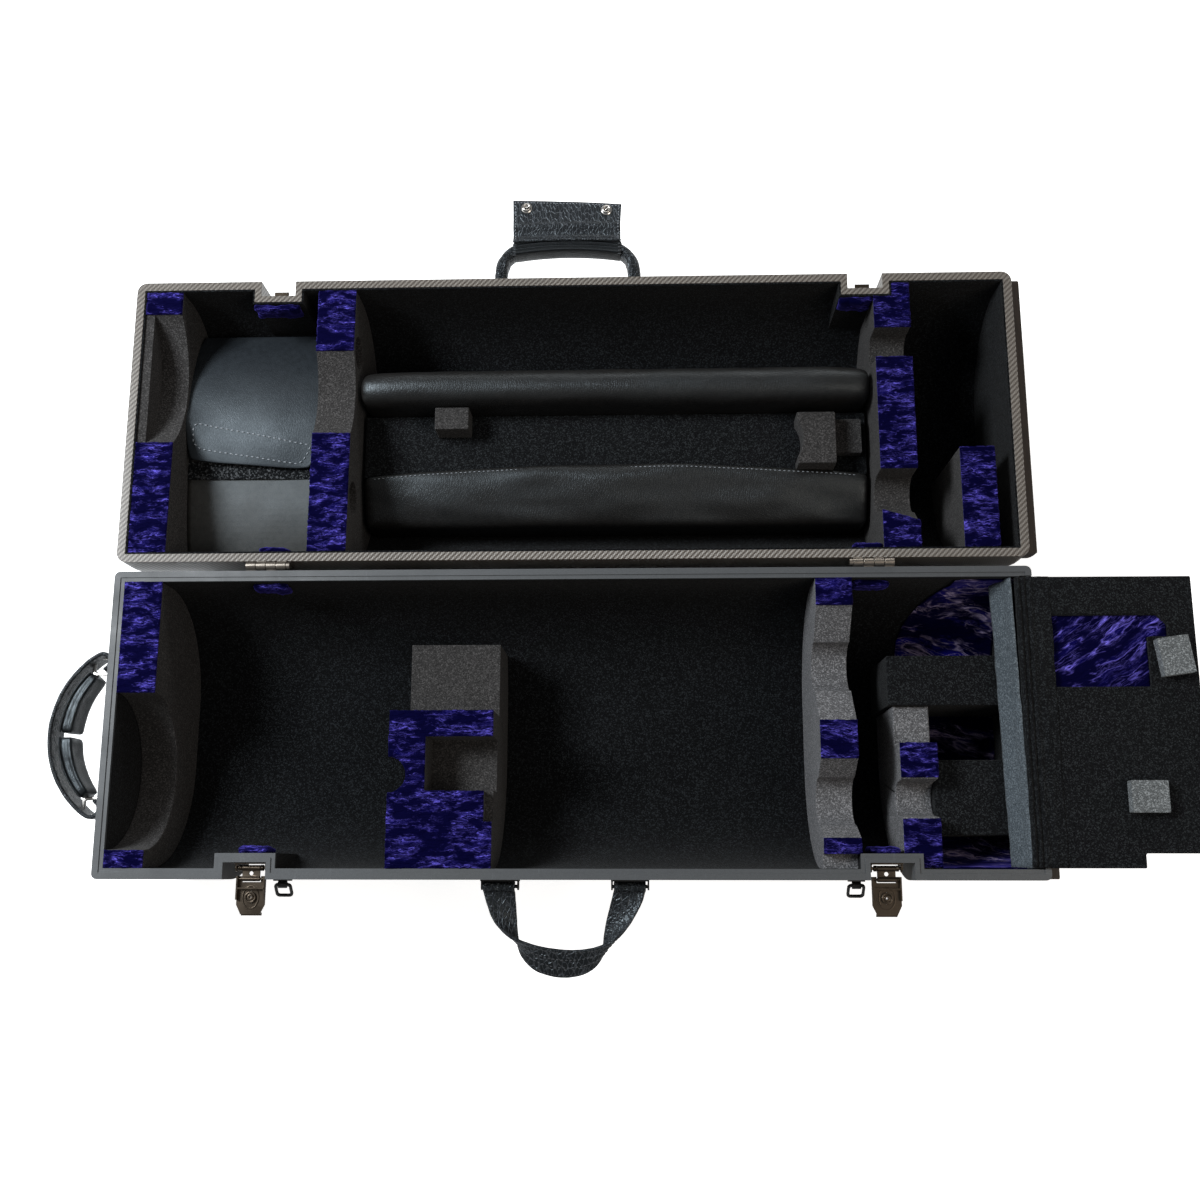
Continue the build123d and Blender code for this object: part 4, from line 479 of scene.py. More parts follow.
def finish_of(name):
    """Builds each finish once."""
    makers = {
        "velvet": lambda: velvet_finish("velvet", 0.0052),
        # The well velvet (gain 5) and the flap velvet (gain 1.5) are the same velvet with its sheen and light
        # colours scaled up: painted light, strongest in the shaded well.
        "well_velvet": lambda: velvet_finish("well_velvet", 0.016, 0.25, 5.0),
        "flap_velvet": lambda: velvet_finish("flap_velvet", 0.012, -0.55, 1.5),
        "felt": lambda: felt_finish("felt", colours().felt, 0.0010, 0.32),
        # A copy of the felt about three times lighter: painted light where the blocks on the right face the
        # lamp.
        "painted_lit_felt": lambda: felt_finish("painted_lit_felt", (0.098, 0.099, 0.104), 0.0010, 0.40),
        "velour": lambda: felt_finish(
            "velour", tint(colours().velour, 0.8), 0.0011, 0.26, 0.0007, (0.060, 0.070, 0.078)),
        "flap_felt": lambda: felt_finish(
            "flap_felt", tint(colours().velour, 1.1), 0.0010, 0.34, 0.0007, (0.066, 0.076, 0.082)),
        "hinge_cloth": lambda: felt_finish(
            "hinge_cloth", (0.070, 0.085, 0.098), 0.0011, 0.40, 0.0005, (0.26, 0.30, 0.33)),
        "loop_pile": lambda: felt_finish(
            "loop_pile", (0.006, 0.007, 0.008), 0.0014, 0.6, 0.0012, (0.14, 0.15, 0.16)),
        "strap_leather": lambda: leather_finish(
            "strap_leather", (0.0045, 0.0050, 0.0058), 0.0016, 0.34, 0.0009, light=9.0),
        "wrap_leather": lambda: leather_finish(
            "wrap_leather", (0.0080, 0.0090, 0.0105), 0.0013, 0.36, 0.0004, light=6.0),
        "smooth_leather": lambda: leather_finish(
            "smooth_leather", (0.0048, 0.0052, 0.0058), 0.0008, 0.38, 0.00010, light=1.5),
        "tray_leather": lambda: leather_finish(
            "tray_leather", (0.0080, 0.0074, 0.0070), 0.0008, 0.40, 0.00012, light=1.5),
        "chip_felt": lambda: felt_finish("chip_felt", (0.115, 0.125, 0.130), 0.0009, 0.40),
        "pouch_leather": lambda: leather_finish(
            "pouch_leather", (0.0130, 0.0157, 0.0190), 0.0007, 0.42, 0.00008, light=1.2),
        # The pouch panel's leather is lighter than the pouch flap's: painted sheen.
        "sheen_painted_panel_leather": lambda: leather_finish(
            "sheen_painted_panel_leather", (0.030, 0.029, 0.027), 0.0006, 0.46, 0.00006, light=1.2),
        "shell": lambda: shell_finish("shell", colours().shell),
        "rim": lambda: shell_finish("rim", tint(colours().shell, 1.05)),
        "weave": lambda: weave_finish("weave", colours().weave),
        "board": lambda: board_finish("board", (0.030, 0.020, 0.014)),
        "nickel": lambda: metal_finish("nickel", (0.30, 0.27, 0.235), 0.30, 0.5),
        "bright_nickel": lambda: metal_finish("bright_nickel", (0.70, 0.68, 0.65), 0.18, 0.3),
        "bronze": lambda: metal_finish("bronze", (0.095, 0.076, 0.058), 0.26, 0.6),
        "black_metal": lambda: metal_finish("black_metal", (0.012, 0.012, 0.013), 0.42, 0.5, 0.2),
        "thread": lambda: thread_finish("thread", (0.34, 0.37, 0.41)),
        "dark_thread": lambda: thread_finish("dark_thread", (0.055, 0.060, 0.068)),
    }
    if name not in MATERIALS:
        MATERIALS[name] = makers[name]()
    return MATERIALS[name]


def dress(name, finish):
    """Gives a CAD node or a new piece its finish."""
    piece = NODES[name] if isinstance(name, str) else name
    piece.data.materials.clear()
    piece.data.materials.append(finish_of(finish))
    return piece


def soften(name, finish, width, segments=2, angle=35.0):
    """A CAD node with its edges rounded by modifiers, and its finish."""
    piece = dress(name, finish)
    weld = piece.modifiers.new("Weld", "WELD")
    weld.merge_threshold = 0.00001
    bevel = piece.modifiers.new("Edges", "BEVEL")
    bevel.width = width
    bevel.segments = segments
    bevel.limit_method = "ANGLE"
    bevel.angle_limit = math.radians(angle)
    bevel.use_clamp_overlap = True
    bevel.harden_normals = False
    piece.data.shade_smooth()
    normals = piece.modifiers.new("Smooth", "WEIGHTED_NORMAL")
    normals.keep_sharp = True
    normals.weight = 100
    return piece


# ---------------------------------------------------------------- stage
FLOOR_GLOW = 0.80
WORLD_LIGHT = 0.22
CAMERA_LENS = 39.0
CAMERA_PLACE = (0.06527, -0.12524, 1.21621)
CAMERA_RIGHT = (0.99942, 0.00126, -0.03400)
CAMERA_UP = (0.00575, 0.97870, 0.20523)
CAMERA_BACK = (0.03354, -0.20531, 0.97812)


def add_light(name, place, aim, size, power, colour=(1.0, 1.0, 1.0)):
    """A large soft area light."""
    data = bpy.data.lights.new(name, "AREA")
    data.shape = "RECTANGLE"
    data.size, data.size_y = size
    data.energy = power
    data.color = colour
    lamp = bpy.data.objects.new(name, data)
    lamp.location = place
    lamp.rotation_euler = (Vector(aim) - Vector(place)).to_track_quat("-Z", "Y").to_euler()
    bpy.context.scene.collection.objects.link(lamp)


class CLARINETCASE_OT_stage(bpy.types.Operator):
    """Build the floor, the lights and the camera"""

    bl_idname = "clarinet_case.stage"
    bl_label = "Stage"

    def execute(self, context):
        scene = context.scene
        mesh = bmesh.new()
        bmesh.ops.create_grid(mesh, x_segments=2, y_segments=2, size=12.0)
        floor = as_object("studio_floor", mesh)
        paint = bpy.data.materials.new("studio_floor")
        paint.use_nodes = True
        tree = paint.node_tree
        shader = tree.nodes["Principled BSDF"]
        shader.inputs["Base Color"].default_value = (0.92, 0.92, 0.92, 1.0)
        shader.inputs["Roughness"].default_value = 0.9
        shader.inputs["Emission Color"].default_value = (1.0, 1.0, 1.0, 1.0)
        path = put(tree, "ShaderNodeLightPath")
        glow = maths(tree, "MULTIPLY", path.outputs["Is Camera Ray"], FLOOR_GLOW)
        tree.links.new(glow, shader.inputs["Emission Strength"])
        floor.data.materials.append(paint)

        world = bpy.data.worlds.new("studio")
        scene.world = world
        world.use_nodes = True
        tree = world.node_tree
        backdrop = tree.nodes["Background"]
        backdrop.inputs["Color"].default_value = (1.0, 1.0, 1.0, 1.0)
        path = put(tree, "ShaderNodeLightPath")
        strength = spread(tree, path.outputs["Is Camera Ray"], 0.0, 1.0, WORLD_LIGHT, 1.0)
        tree.links.new(strength, backdrop.inputs["Strength"])

        add_light("key", (-1.25, 0.55, 1.45), (0.1, 0.12, 0.0), (0.6, 0.6), 44.0, (0.93, 0.97, 1.0))
        add_light("fill", (1.2, -0.4, 1.5), (0.0, 0.1, 0.0), (1.0, 0.9), 8.0, (1.0, 0.88, 0.76))
        add_light("rake", (0.3, 1.9, 0.9), (0.0, 0.1, 0.05), (1.6, 0.4), 9.0, (1.0, 0.98, 0.95))

        camera = bpy.data.objects.new("camera", bpy.data.cameras.new("camera"))
        camera.data.lens = CAMERA_LENS
        camera.data.sensor_width = 36.0
        camera.data.clip_start = 0.02
        turn = Matrix((CAMERA_RIGHT, CAMERA_UP, CAMERA_BACK)).transposed().to_4x4()
        camera.matrix_world = Matrix.Translation(CAMERA_PLACE) @ turn
        scene.collection.objects.link(camera)
        scene.camera = camera
        scene.view_settings.view_transform = "Standard"
        return {"FINISHED"}


# ---------------------------------------------------------------- mesh helpers
def as_object(name, mesh, smooth=True):
    """Turns a bmesh into an object at the origin."""
    data = bpy.data.meshes.new(name)
    mesh.to_mesh(data)
    mesh.free()
    piece = bpy.data.objects.new(name, data)
    bpy.context.scene.collection.objects.link(piece)
    if smooth:
        data.shade_smooth()
    return piece


def merged_copy(node):
    """A bmesh of a CAD node with its loose triangles welded together."""
    mesh = bmesh.new()
    mesh.from_mesh(NODES[node].data)
    bmesh.ops.remove_doubles(mesh, verts=mesh.verts, dist=0.00001)
    return mesh


# ---------------------------------------------------------------- modelling helpers
MM = 0.001


def through(places, per_span):
    """Points of a smooth curve through a few places."""
    ends = [2 * places[0] - places[1], *places, 2 * places[-1] - places[-2]]
    path = []
    for before, start, finish, after in zip(ends, ends[1:], ends[2:], ends[3:]):
        for step in range(per_span):
            t = step / per_span
            path.append(0.5 * (
                2 * start + (finish - before) * t
                + (2 * before - 5 * start + 4 * finish - after) * t ** 2
                + (3 * start - before - 3 * finish + after) * t ** 3
            ))
    return path + [places[-1]]


def at_share(path, share):
    """The place at a share of a path's points."""
    reach = min(max(share, 0.0), 1.0) * (len(path) - 1)
    first = min(int(reach), len(path) - 2)
    return path[first].lerp(path[first + 1], reach - first)


def station(place, along, across, width=1.0, height=1.0):
    """Where a section stands: X along the band's width, Y out of its face, Z along the path."""
    across = across.normalized()
    away = along.cross(across).normalized()
    along = across.cross(away)
    turn = Matrix((across * width, away * height, along)).transposed().to_4x4()
    return Matrix.Translation(place) @ turn


def headings(path):
    """The direction of a path at each of its points."""
    return [
        path[min(index + 1, len(path) - 1)] - path[max(index - 1, 0)]
        for index in range(len(path))
    ]


def sweep(mesh, section, stations):
    """Extrudes an outline from station to station and closes its two ends."""
    ring = [mesh.verts.new(stations[0] @ Vector((x, y, 0.0))) for x, y in section]
    edges = [mesh.edges.new(pair) for pair in zip(ring, ring[1:] + ring[:1])]
    ends = [list(edges)]
    for before, after in zip(stations, stations[1:]):
        made = bmesh.ops.extrude_edge_only(mesh, edges=edges)["geom"]
        fresh = {item for item in made if isinstance(item, bmesh.types.BMVert)}
        bmesh.ops.transform(mesh, matrix=after @ before.inverted(), verts=list(fresh))
        edges = [
            item for item in made
            if isinstance(item, bmesh.types.BMEdge) and fresh.issuperset(item.verts)
        ]
    ends.append(edges)
    for loop in ends:
        bmesh.ops.contextual_create(mesh, geom=loop)
    bmesh.ops.recalc_face_normals(mesh, faces=mesh.faces)


def band_section(width, thickness, piping, steps=6):
    """Outline of a flat leather band with a round piping along both edges."""
    flat = width / 2 - piping / 2
    outline = [(flat * 0.9 * (2 * step / steps - 1), thickness / 2) for step in range(steps + 1)]
    for degrees in (75, 38, 0, -38, -75):
        turn = math.radians(degrees)
        outline.append((flat + piping / 2 * math.cos(turn), piping / 2 * math.sin(turn)))
    return outline + [(-x, -y) for x, y in outline]


def round_section(width, height, round_share=0.5, steps=4):
    """Outline of a padded band: a rectangle with round corners."""
    radius = min(width, height) * round_share
    outline = []
    for corner, (side, top) in enumerate(((1, 1), (-1, 1), (-1, -1), (1, -1))):
        for step in range(steps + 1):
            turn = math.radians(90 * (corner + step / steps))
            outline.append((
                side * (width / 2 - radius) + radius * math.cos(turn),
                top * (height / 2 - radius) + radius * math.sin(turn),
            ))
    return outline


def sew(mesh, path, faces, pitch, length, thread, skew=0.0):
    """Sets stitches along a path; faces gives the side they show on at each point."""
    walked = 0.0
    wanted = pitch / 2
    for start, finish, away in zip(path, path[1:], faces):
        span = (finish - start).length
        while span > 0.0 and wanted <= walked + span:
            spot = start.lerp(finish, (wanted - walked) / span)
            across = away.cross(finish - start)
            turn = station(spot, finish - start + across.normalized() * span * skew, across)
            shape = Matrix.Diagonal((thread, thread * 0.7, length / 2, 1.0))
            bmesh.ops.create_icosphere(mesh, subdivisions=1, radius=1.0, matrix=turn @ shape)
            wanted += pitch
        walked += span


def remeshed(mesh, cell):
    """The same closed form as an even grid of small faces."""
    rough = as_object("rough_form", mesh)
    grid = rough.modifiers.new("Grid", "REMESH")
    grid.mode = "VOXEL"
    grid.voxel_size = cell
    made = bmesh.new()
    made.from_object(rough, bpy.context.evaluated_depsgraph_get())
    bpy.data.meshes.remove(rough.data)
    return made


def refined(mesh, cell, rounds=9):
    """Splits long edges until the flat faces can take folds."""
    for _ in range(rounds):
        long_edges = [edge for edge in mesh.edges if edge.calc_length() > cell]
        if not long_edges:
            break
        bmesh.ops.subdivide_edges(mesh, edges=long_edges, cuts=1)
        bmesh.ops.triangulate(mesh, faces=[face for face in mesh.faces if len(face.verts) > 3])


def ease(mesh, rounds, amount=0.5):
    """Rounds a form by averaging its vertices."""
    for _ in range(rounds):
        bmesh.ops.smooth_vert(
            mesh, verts=mesh.verts, factor=amount, use_axis_x=True, use_axis_y=True, use_axis_z=True)


def lumps(place, size, octaves=3):
    """Soft noise between about -1 and 1 at a place."""
    stretched = Vector((place.x / size[0], place.y / size[1], place.z / size[2]))
    return noise.fractal(stretched, 1.0, 2.0, octaves)


def swell(mesh, amount, lump, size, shift=0.0):
    """Pushes a form outwards by an amount, with lumps."""
    mesh.normal_update()
    pushes = [
        (vert, vert.normal * (amount + lump * lumps(vert.co + Vector((shift, shift, shift)), size)))
        for vert in mesh.verts
    ]
    for vert, push in pushes:
        vert.co += push


def sheet_mesh(place, columns, rows):
    """A grid set out by a function of its two shares, its faces turned up, and its area."""
    mesh = bmesh.new()
    bmesh.ops.create_grid(mesh, x_segments=columns, y_segments=rows, size=0.5)
    for vert in mesh.verts:
        vert.co = place(vert.co.x + 0.5, vert.co.y + 0.5)
    bmesh.ops.recalc_face_normals(mesh, faces=mesh.faces)
    if sum(face.normal.z for face in mesh.faces) < 0:
        bmesh.ops.reverse_faces(mesh, faces=mesh.faces)
    return mesh, sum(face.calc_area() for face in mesh.faces)


def thicken(piece, thickness, name="Leather", cut_edge=0.0):
    """Gives a sheet its thickness, and rounds its cut edge."""
    wall = piece.modifiers.new(name, "SOLIDIFY")
    wall.thickness = thickness
    wall.offset = -1.0
    if cut_edge:
        edge = piece.modifiers.new("Cut edge", "BEVEL")
        edge.width = cut_edge
        edge.segments = 3
        edge.limit_method = "ANGLE"


def finish_piece(piece, finish, body, slot, *nodes, levels=0):
    """Dresses a new piece, smooths it if levels are given, hides the CAD nodes it stands for, and attaches it
    to the body it moves with.
    """
    dress(piece, finish)
    if levels:
        smooth = piece.modifiers.new("Smooth", "SUBSURF")
        smooth.levels = levels
        smooth.render_levels = levels
    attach(piece, body)
    if nodes:
        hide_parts(*nodes)
    return piece


# ---------------------------------------------------------------- shells and blocks
class CLARINETCASE_OT_shells(bpy.types.Operator):
    """Finish the two moulded halves, their linings and the end boards"""

    bl_idname = "clarinet_case.shells"
    bl_label = "Shells"

    def execute(self, context):
        edge = sizes().shell_edge
        soften("base_shell", "shell", edge)
        soften("base_rim_trim", "rim", edge * 0.6)
        soften("lid_shell", "weave", edge)
        dress("base_lining", "velour")
        dress("lid_lining", "velour")
        soften("base_foot_board", "board", edge)
        soften("lid_foot_board", "board", edge)
        return {"FINISHED"}


class CLARINETCASE_OT_blocks(bpy.types.Operator):
    """Finish the felt-covered foam blocks"""

    bl_idname = "clarinet_case.blocks"
    bl_label = "Foam blocks"

    def execute(self, context):
        for finish, nodes in (
            ("felt", "base_end_block base_middle_block lid_end_block lid_left_column"),
            ("felt", "lid_right_column lid_bell_block lid_foam_rests"),
            # Painted light: the cradle and joint blocks take the lighter copy of the felt.
            ("painted_lit_felt", "base_cradle_block base_joint_block"),
            ("chip_felt", "flap_chips"),
            ("flap_felt", "base_shelves lid_foam_bed"),
        ):
            for node in nodes.split():
                soften(node, finish, sizes().foam_edge)
        return {"FINISHED"}


# ---------------------------------------------------------------- velvet
class CLARINETCASE_OT_velvet(bpy.types.Operator):
    """Cover the blocks and wells with crushed velvet, and pad the rivets"""

    bl_idname = "clarinet_case.velvet"
    bl_label = "Velvet"

    def execute(self, context):
        for node, body, finish, cell, relief, size in (
            ("base_block_velvet", "base", "velvet", 0.0026, 0.0009, (0.016, 0.0045, 0.02)),
            ("lid_block_velvet", "lid", "velvet", 0.0026, 0.0009, (0.015, 0.0045, 0.02)),
            ("base_well_velvet", "base", "well_velvet", 0.0032, 0.0012, (0.03, 0.012, 0.02)),
            ("flap_velvet", "compartment_flap", "flap_velvet", 0.0024, 0.0010, (0.03, 0.009, 0.02)),
        ):
            mesh = merged_copy(node)
            refined(mesh, cell)
            mesh.normal_update()
            folds = []
            for vert in mesh.verts:
                if vert.normal.z > 0.3:
                    fold = 1.0 - abs(lumps(vert.co, size))
                    folds.append((vert, vert.normal * relief * (fold ** 3 - 0.35)))
            for vert, push in folds:
                vert.co += push
            cover = as_object(node + "_crushed", mesh)
            finish_piece(cover, finish, body, "velvet_violet", node)
        for node, body in (("base_rivet_covers", "base"), ("lid_rivet_covers", "lid")):
            mesh = remeshed(merged_copy(node), 0.0016)
            ease(mesh, 3)
            swell(mesh, 0.0006, 0.0016, (0.009, 0.006, 0.012))
            pad = as_object(node + "_gathered", mesh)
            finish_piece(pad, "velvet", body, "velvet_violet", node)
        return {"FINISHED"}


# ---------------------------------------------------------------- tray and pouch
BED_EDGE_BOW = 0.012
STITCH_THREAD = 0.00035


def lid_y(from_hinge):
    """Place of a distance from the lid's hinge side, in metres."""
    return LID_LOW.y + from_hinge


class CLARINETCASE_OT_tray(bpy.types.Operator):
    """Make the padded roll and the soft bed between the lid's columns"""

    bl_idname = "clarinet_case.tray"
    bl_label = "Leather tray"

    def execute(self, context):
        mesh = remeshed(merged_copy("lid_leather_divider"), 0.004)
        ease(mesh, 4)
        low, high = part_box("lid_leather_divider")
        for vert in mesh.verts:
            from_end = min(vert.co.x - low.x, high.x - vert.co.x)
            pinch = 1.0 - 0.10 * math.exp(-from_end / 0.016)
            middle = (low.y + high.y) / 2
            vert.co.y = middle + (vert.co.y - middle) * pinch
            vert.co.z = low.z + (vert.co.z - low.z) * (0.5 + 0.5 * pinch)
        swell(mesh, 0.0, 0.0007, (0.06, 0.02, 0.02))
        roll = as_object("tray_leather_roll", mesh)
        finish_piece(roll, "tray_leather", "lid", "leather_black", "lid_leather_divider", levels=1)

        low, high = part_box("lid_leather_bed")
        mesh = remeshed(merged_copy("lid_leather_bed"), 0.004)
        ease(mesh, 3)
        for vert in mesh.verts:
            share = (vert.co.x - low.x) / (high.x - low.x)
            front = (vert.co.y - low.y) / (high.y - low.y)
            bow = max(0.0, math.sin(math.pi * share)) ** 0.8
            height = max(0.0, min(1.0, (vert.co.z - low.z) / (high.z - low.z)))
            if front > 0.5:
                vert.co.y += BED_EDGE_BOW * bow * (front - 0.5) * 2 * height ** 2
            dent = lumps(vert.co + Vector((0.03, 0.0, 0.0)), (0.09, 0.03, 0.05), 2)
            vert.co.z += (0.0035 * dent - 0.005 * (1.0 - bow)) * height
        bed = as_object("tray_leather_bed", mesh)
        finish_piece(bed, "tray_leather", "lid", "leather_black", "lid_leather_bed", levels=1)

        seam = bmesh.new()
        crest = []
        bed_verts = [vert.co for vert in bed.data.vertices]
        stitch_d = 0.0028
        steps = 92
        for step in range(1, steps):
            x = low.x + (high.x - low.x) * step / steps
            near = [co for co in bed_verts if abs(co.x - x) < 0.004 and co.z > high.z - 0.03]
            edge = max(near, key=lambda co: co.y + 0.6 * co.z)
            crest.append(Vector((x, edge.y - stitch_d, edge.z + 0.0012)))
        for _ in range(3):
            crest = [crest[0]] + [
                (a + b + c) / 3 for a, b, c in zip(crest, crest[1:], crest[2:])
            ] + [crest[-1]]
        sew(seam, crest, [Vector((0, 0.3, 1))] * len(crest), 0.0042, 0.0026, STITCH_THREAD)
        stitches = as_object("tray_bed_stitches", seam)
        finish_piece(stitches, "thread", "lid", "leather_black")
        return {"FINISHED"}


FLAP_HINGE_D = 0.2340
FLAP_LEFT = -0.3524
FLAP_RIGHT = -0.2286


def flap_height(from_hinge):
    """Height of the pouch flap's arched surface."""
    share = (FLAP_HINGE_D - from_hinge) / (FLAP_HINGE_D - 0.0960)
    return RIM - 0.0580 + 0.0220 * share + 0.013 * 4 * share * (1 - share)


def flap_place(across, along):
    """Place on the pouch flap: across 0..1 from the left, along 0..1 from its sewn edge."""
    left = FLAP_LEFT - 0.0012 * math.sin(math.pi * min(1.0, along * 1.2))
    right = FLAP_RIGHT
    corner = max(0.0, along - 0.80) / 0.20
    left += 0.0045 * corner ** 2.2
    right -= 0.0110 * corner ** 2.6
    narrow = max(0.0, 0.10 - along) / 0.10
    left += 0.003 * narrow
    right -= 0.010 * narrow
    end_d = 0.1035 - 0.0085 * across + 0.0022 * (2 * across - 1) ** 6
    from_hinge = FLAP_HINGE_D + (end_d - FLAP_HINGE_D) * along
    curl = 0.0035 * math.exp(-across / 0.07) * math.exp(-((along - 0.74) / 0.10) ** 2)
    wave = 0.0011 * lumps(Vector((across * 2.2, along * 2.4, 1.7)), (1, 1, 1), 2)
    sag = 0.0022 * math.sin(math.pi * across) * math.sin(math.pi * min(1.0, along * 1.1))
    return Vector((
        left + (right - left) * across,
        lid_y(from_hinge),
        flap_height(from_hinge) + curl + wave * along + sag - 0.0010,
    ))


class CLARINETCASE_OT_pouch(bpy.types.Operator):
    """Make the leather pouch: its curved panel, flap and stitched hook tape"""

    bl_idname = "clarinet_case.pouch"
    bl_label = "Leather pouch"

    def execute(self, context):
        mesh, flat_area = sheet_mesh(lambda across, back: flap_place(across, 1.0 - back), 40, 52)
        flap = as_object("pouch_leather_flap", mesh)
        thicken(flap, sizes().leather_thickness, cut_edge=0.0007)
        finish_piece(flap, "pouch_leather", "pouch_cover", "leather_black", "pouch_flap")

        corners = [(0.055, 0.760), (0.085, 0.735), (0.50, 0.790), (0.90, 0.845), (0.925, 0.870),
                   (0.905, 0.955), (0.875, 0.972), (0.50, 0.945), (0.10, 0.915), (0.050, 0.880)]
        seam = bmesh.new()
        outline = []
        for (u, v), (next_u, next_v) in zip(corners, corners[1:] + corners[:1]):
            for step in range(12):
                share = step / 12
                spot = flap_place(u + (next_u - u) * share, v + (next_v - v) * share)
                outline.append(spot + Vector((0, 0, 0.0005)))
        sew(seam, outline, [Vector((0, 0, 1))] * len(outline), 0.0050, 0.0030, 0.00055)
        stitches = as_object("pouch_flap_stitches", seam)
        finish_piece(stitches, "thread", "pouch_cover", "leather_black")

        low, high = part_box("pouch_panel")
        mesh = merged_copy("pouch_panel")
        refined(mesh, 0.005)
        for vert in mesh.verts:
            share = (vert.co.x - low.x) / (high.x - low.x)
            vert.co.z -= 0.0014 * math.sin(math.pi * share) + 0.0006 * lumps(vert.co, (0.05, 0.05, 0.05), 2)
        panel = as_object("pouch_leather_panel", mesh)
        # Painted sheen: the panel takes the lighter leather.
        finish_piece(panel, "sheen_painted_panel_leather", "lid", "leather_black", "pouch_panel")
        dress("pouch_loop_strip", "loop_pile")
        return {"FINISHED"}


# ---------------------------------------------------------------- plain strap handle of the base
STRAP_MIDDLE = -0.0015
STRAP_UPPER = (
    (-68.8, -0.6, 0.0), (-65.0, 11.5, 0.5), (-60.9, 21.6, 1.0), (-54.2, 30.3, 1.5), (-44.3, 37.6, 1.0),
    (-29.3, 42.6, 0.0), (-15.2, 45.7, -1.0), (0.0, 47.4, -2.0), (16.4, 47.0, -2.0), (31.3, 43.6, -1.0),
    (44.6, 36.6, 0.5), (53.7, 27.5, 1.5), (60.4, 16.9, 1.0), (64.5, 8.6, 0.5), (67.4, -0.6, 0.0),
)
STRAP_LOWER = (
    (-41.4, -0.6, 0.0), (-41.0, 10.0, -4.0), (-40.5, 20.0, -7.0), (-40.2, 30.0, -9.0), (-39.5, 41.0, -11.0),
    (-36.0, 54.0, -12.0), (-24.0, 65.5, -12.0), (-4.0, 70.6, -12.0), (14.0, 68.3, -12.0), (25.0, 61.5, -12.0),
    (30.5, 50.0, -11.0), (32.0, 37.0, -9.0), (34.0, 25.0, -7.0), (37.2, 12.0, -4.0), (40.4, -0.6, 0.0),
)


def strap_edge(places, root_y, pin_z):
    """One edge of the strap as a smooth path."""
    return through(
        [Vector((STRAP_MIDDLE + x * MM, root_y - y * MM, pin_z + z * MM)) for x, y, z in places], 5)


class CLARINETCASE_OT_base_handle(bpy.types.Operator):
    """Make the plain leather strap of the base, looped round its two pins"""

    bl_idname = "clarinet_case.base_handle"
    bl_label = "Base strap handle"

    def execute(self, context):
        low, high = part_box("base_handle_strap")
        pin_y = high.y - 0.0034
        pin_z = RIM - 0.018
        root_y = pin_y - 0.0036
        upper = strap_edge(STRAP_UPPER, root_y, pin_z)
        lower = strap_edge(STRAP_LOWER, root_y, pin_z)
        middle = [(a + b) / 2 for a, b in zip(upper, lower)]
        across = [a - b for a, b in zip(upper, lower)]
        nominal = 0.026
        stations = [
            station(place, way, side, side.length / nominal)
            for place, way, side in zip(middle, headings(middle), across)
        ]
        curls = []
        for side in (-1, 1):
            leg_x = (upper[0].x + lower[0].x) / 2 if side < 0 else (upper[-1].x + lower[-1].x) / 2
            curl = []
            for degrees in range(15, 256, 20):
                turn = math.radians(degrees)
                reach = Vector((0.0, -math.cos(turn), math.sin(turn)))
                way = Vector((0.0, math.sin(turn), math.cos(turn)))
                place = Vector((leg_x, pin_y, pin_z)) + reach * 0.0038
                curl.append(station(place, -side * -way, Vector((side, 0.0, 0.0)), 1.03, 0.80))
            curls.append(curl if side > 0 else list(reversed(curl)))
        mesh = bmesh.new()
        sweep(mesh, band_section(nominal, 0.0024, 0.0034), curls[0] + stations[1:-1] + curls[1])
        swell(mesh, 0.0, 0.00025, (0.004, 0.004, 0.004))
        strap = as_object("base_leather_strap", mesh)
        finish_piece(strap, "strap_leather", "base_handle", "leather_black", "base_handle_strap", levels=1)

        seam = bmesh.new()
        faces = [way.cross(side).normalized() for way, side in zip(headings(middle), across)]
        for face in (1, -1):
            for share in (0.40, -0.40):
                line = [
                    place + side * share + away * 0.0013 * face
                    for place, side, away in zip(middle, across, faces)
                ]
                sew(seam, line[2:-2], [away * face for away in faces[2:-2]], 0.0032, 0.0022, STITCH_THREAD)
        first = len(middle) // 4
        for share in (0.15, -0.12):
            line = [
                place + side * share + away * 0.0013
                for place, side, away in zip(middle, across, faces)
            ][first:-first]
            sew(seam, line, faces[first:-first], 0.0036, 0.0028, 0.0005, skew=0.5)
        stitches = as_object("base_strap_stitches", seam)
        finish_piece(stitches, "dark_thread", "base_handle", "leather_black")
        return {"FINISHED"}


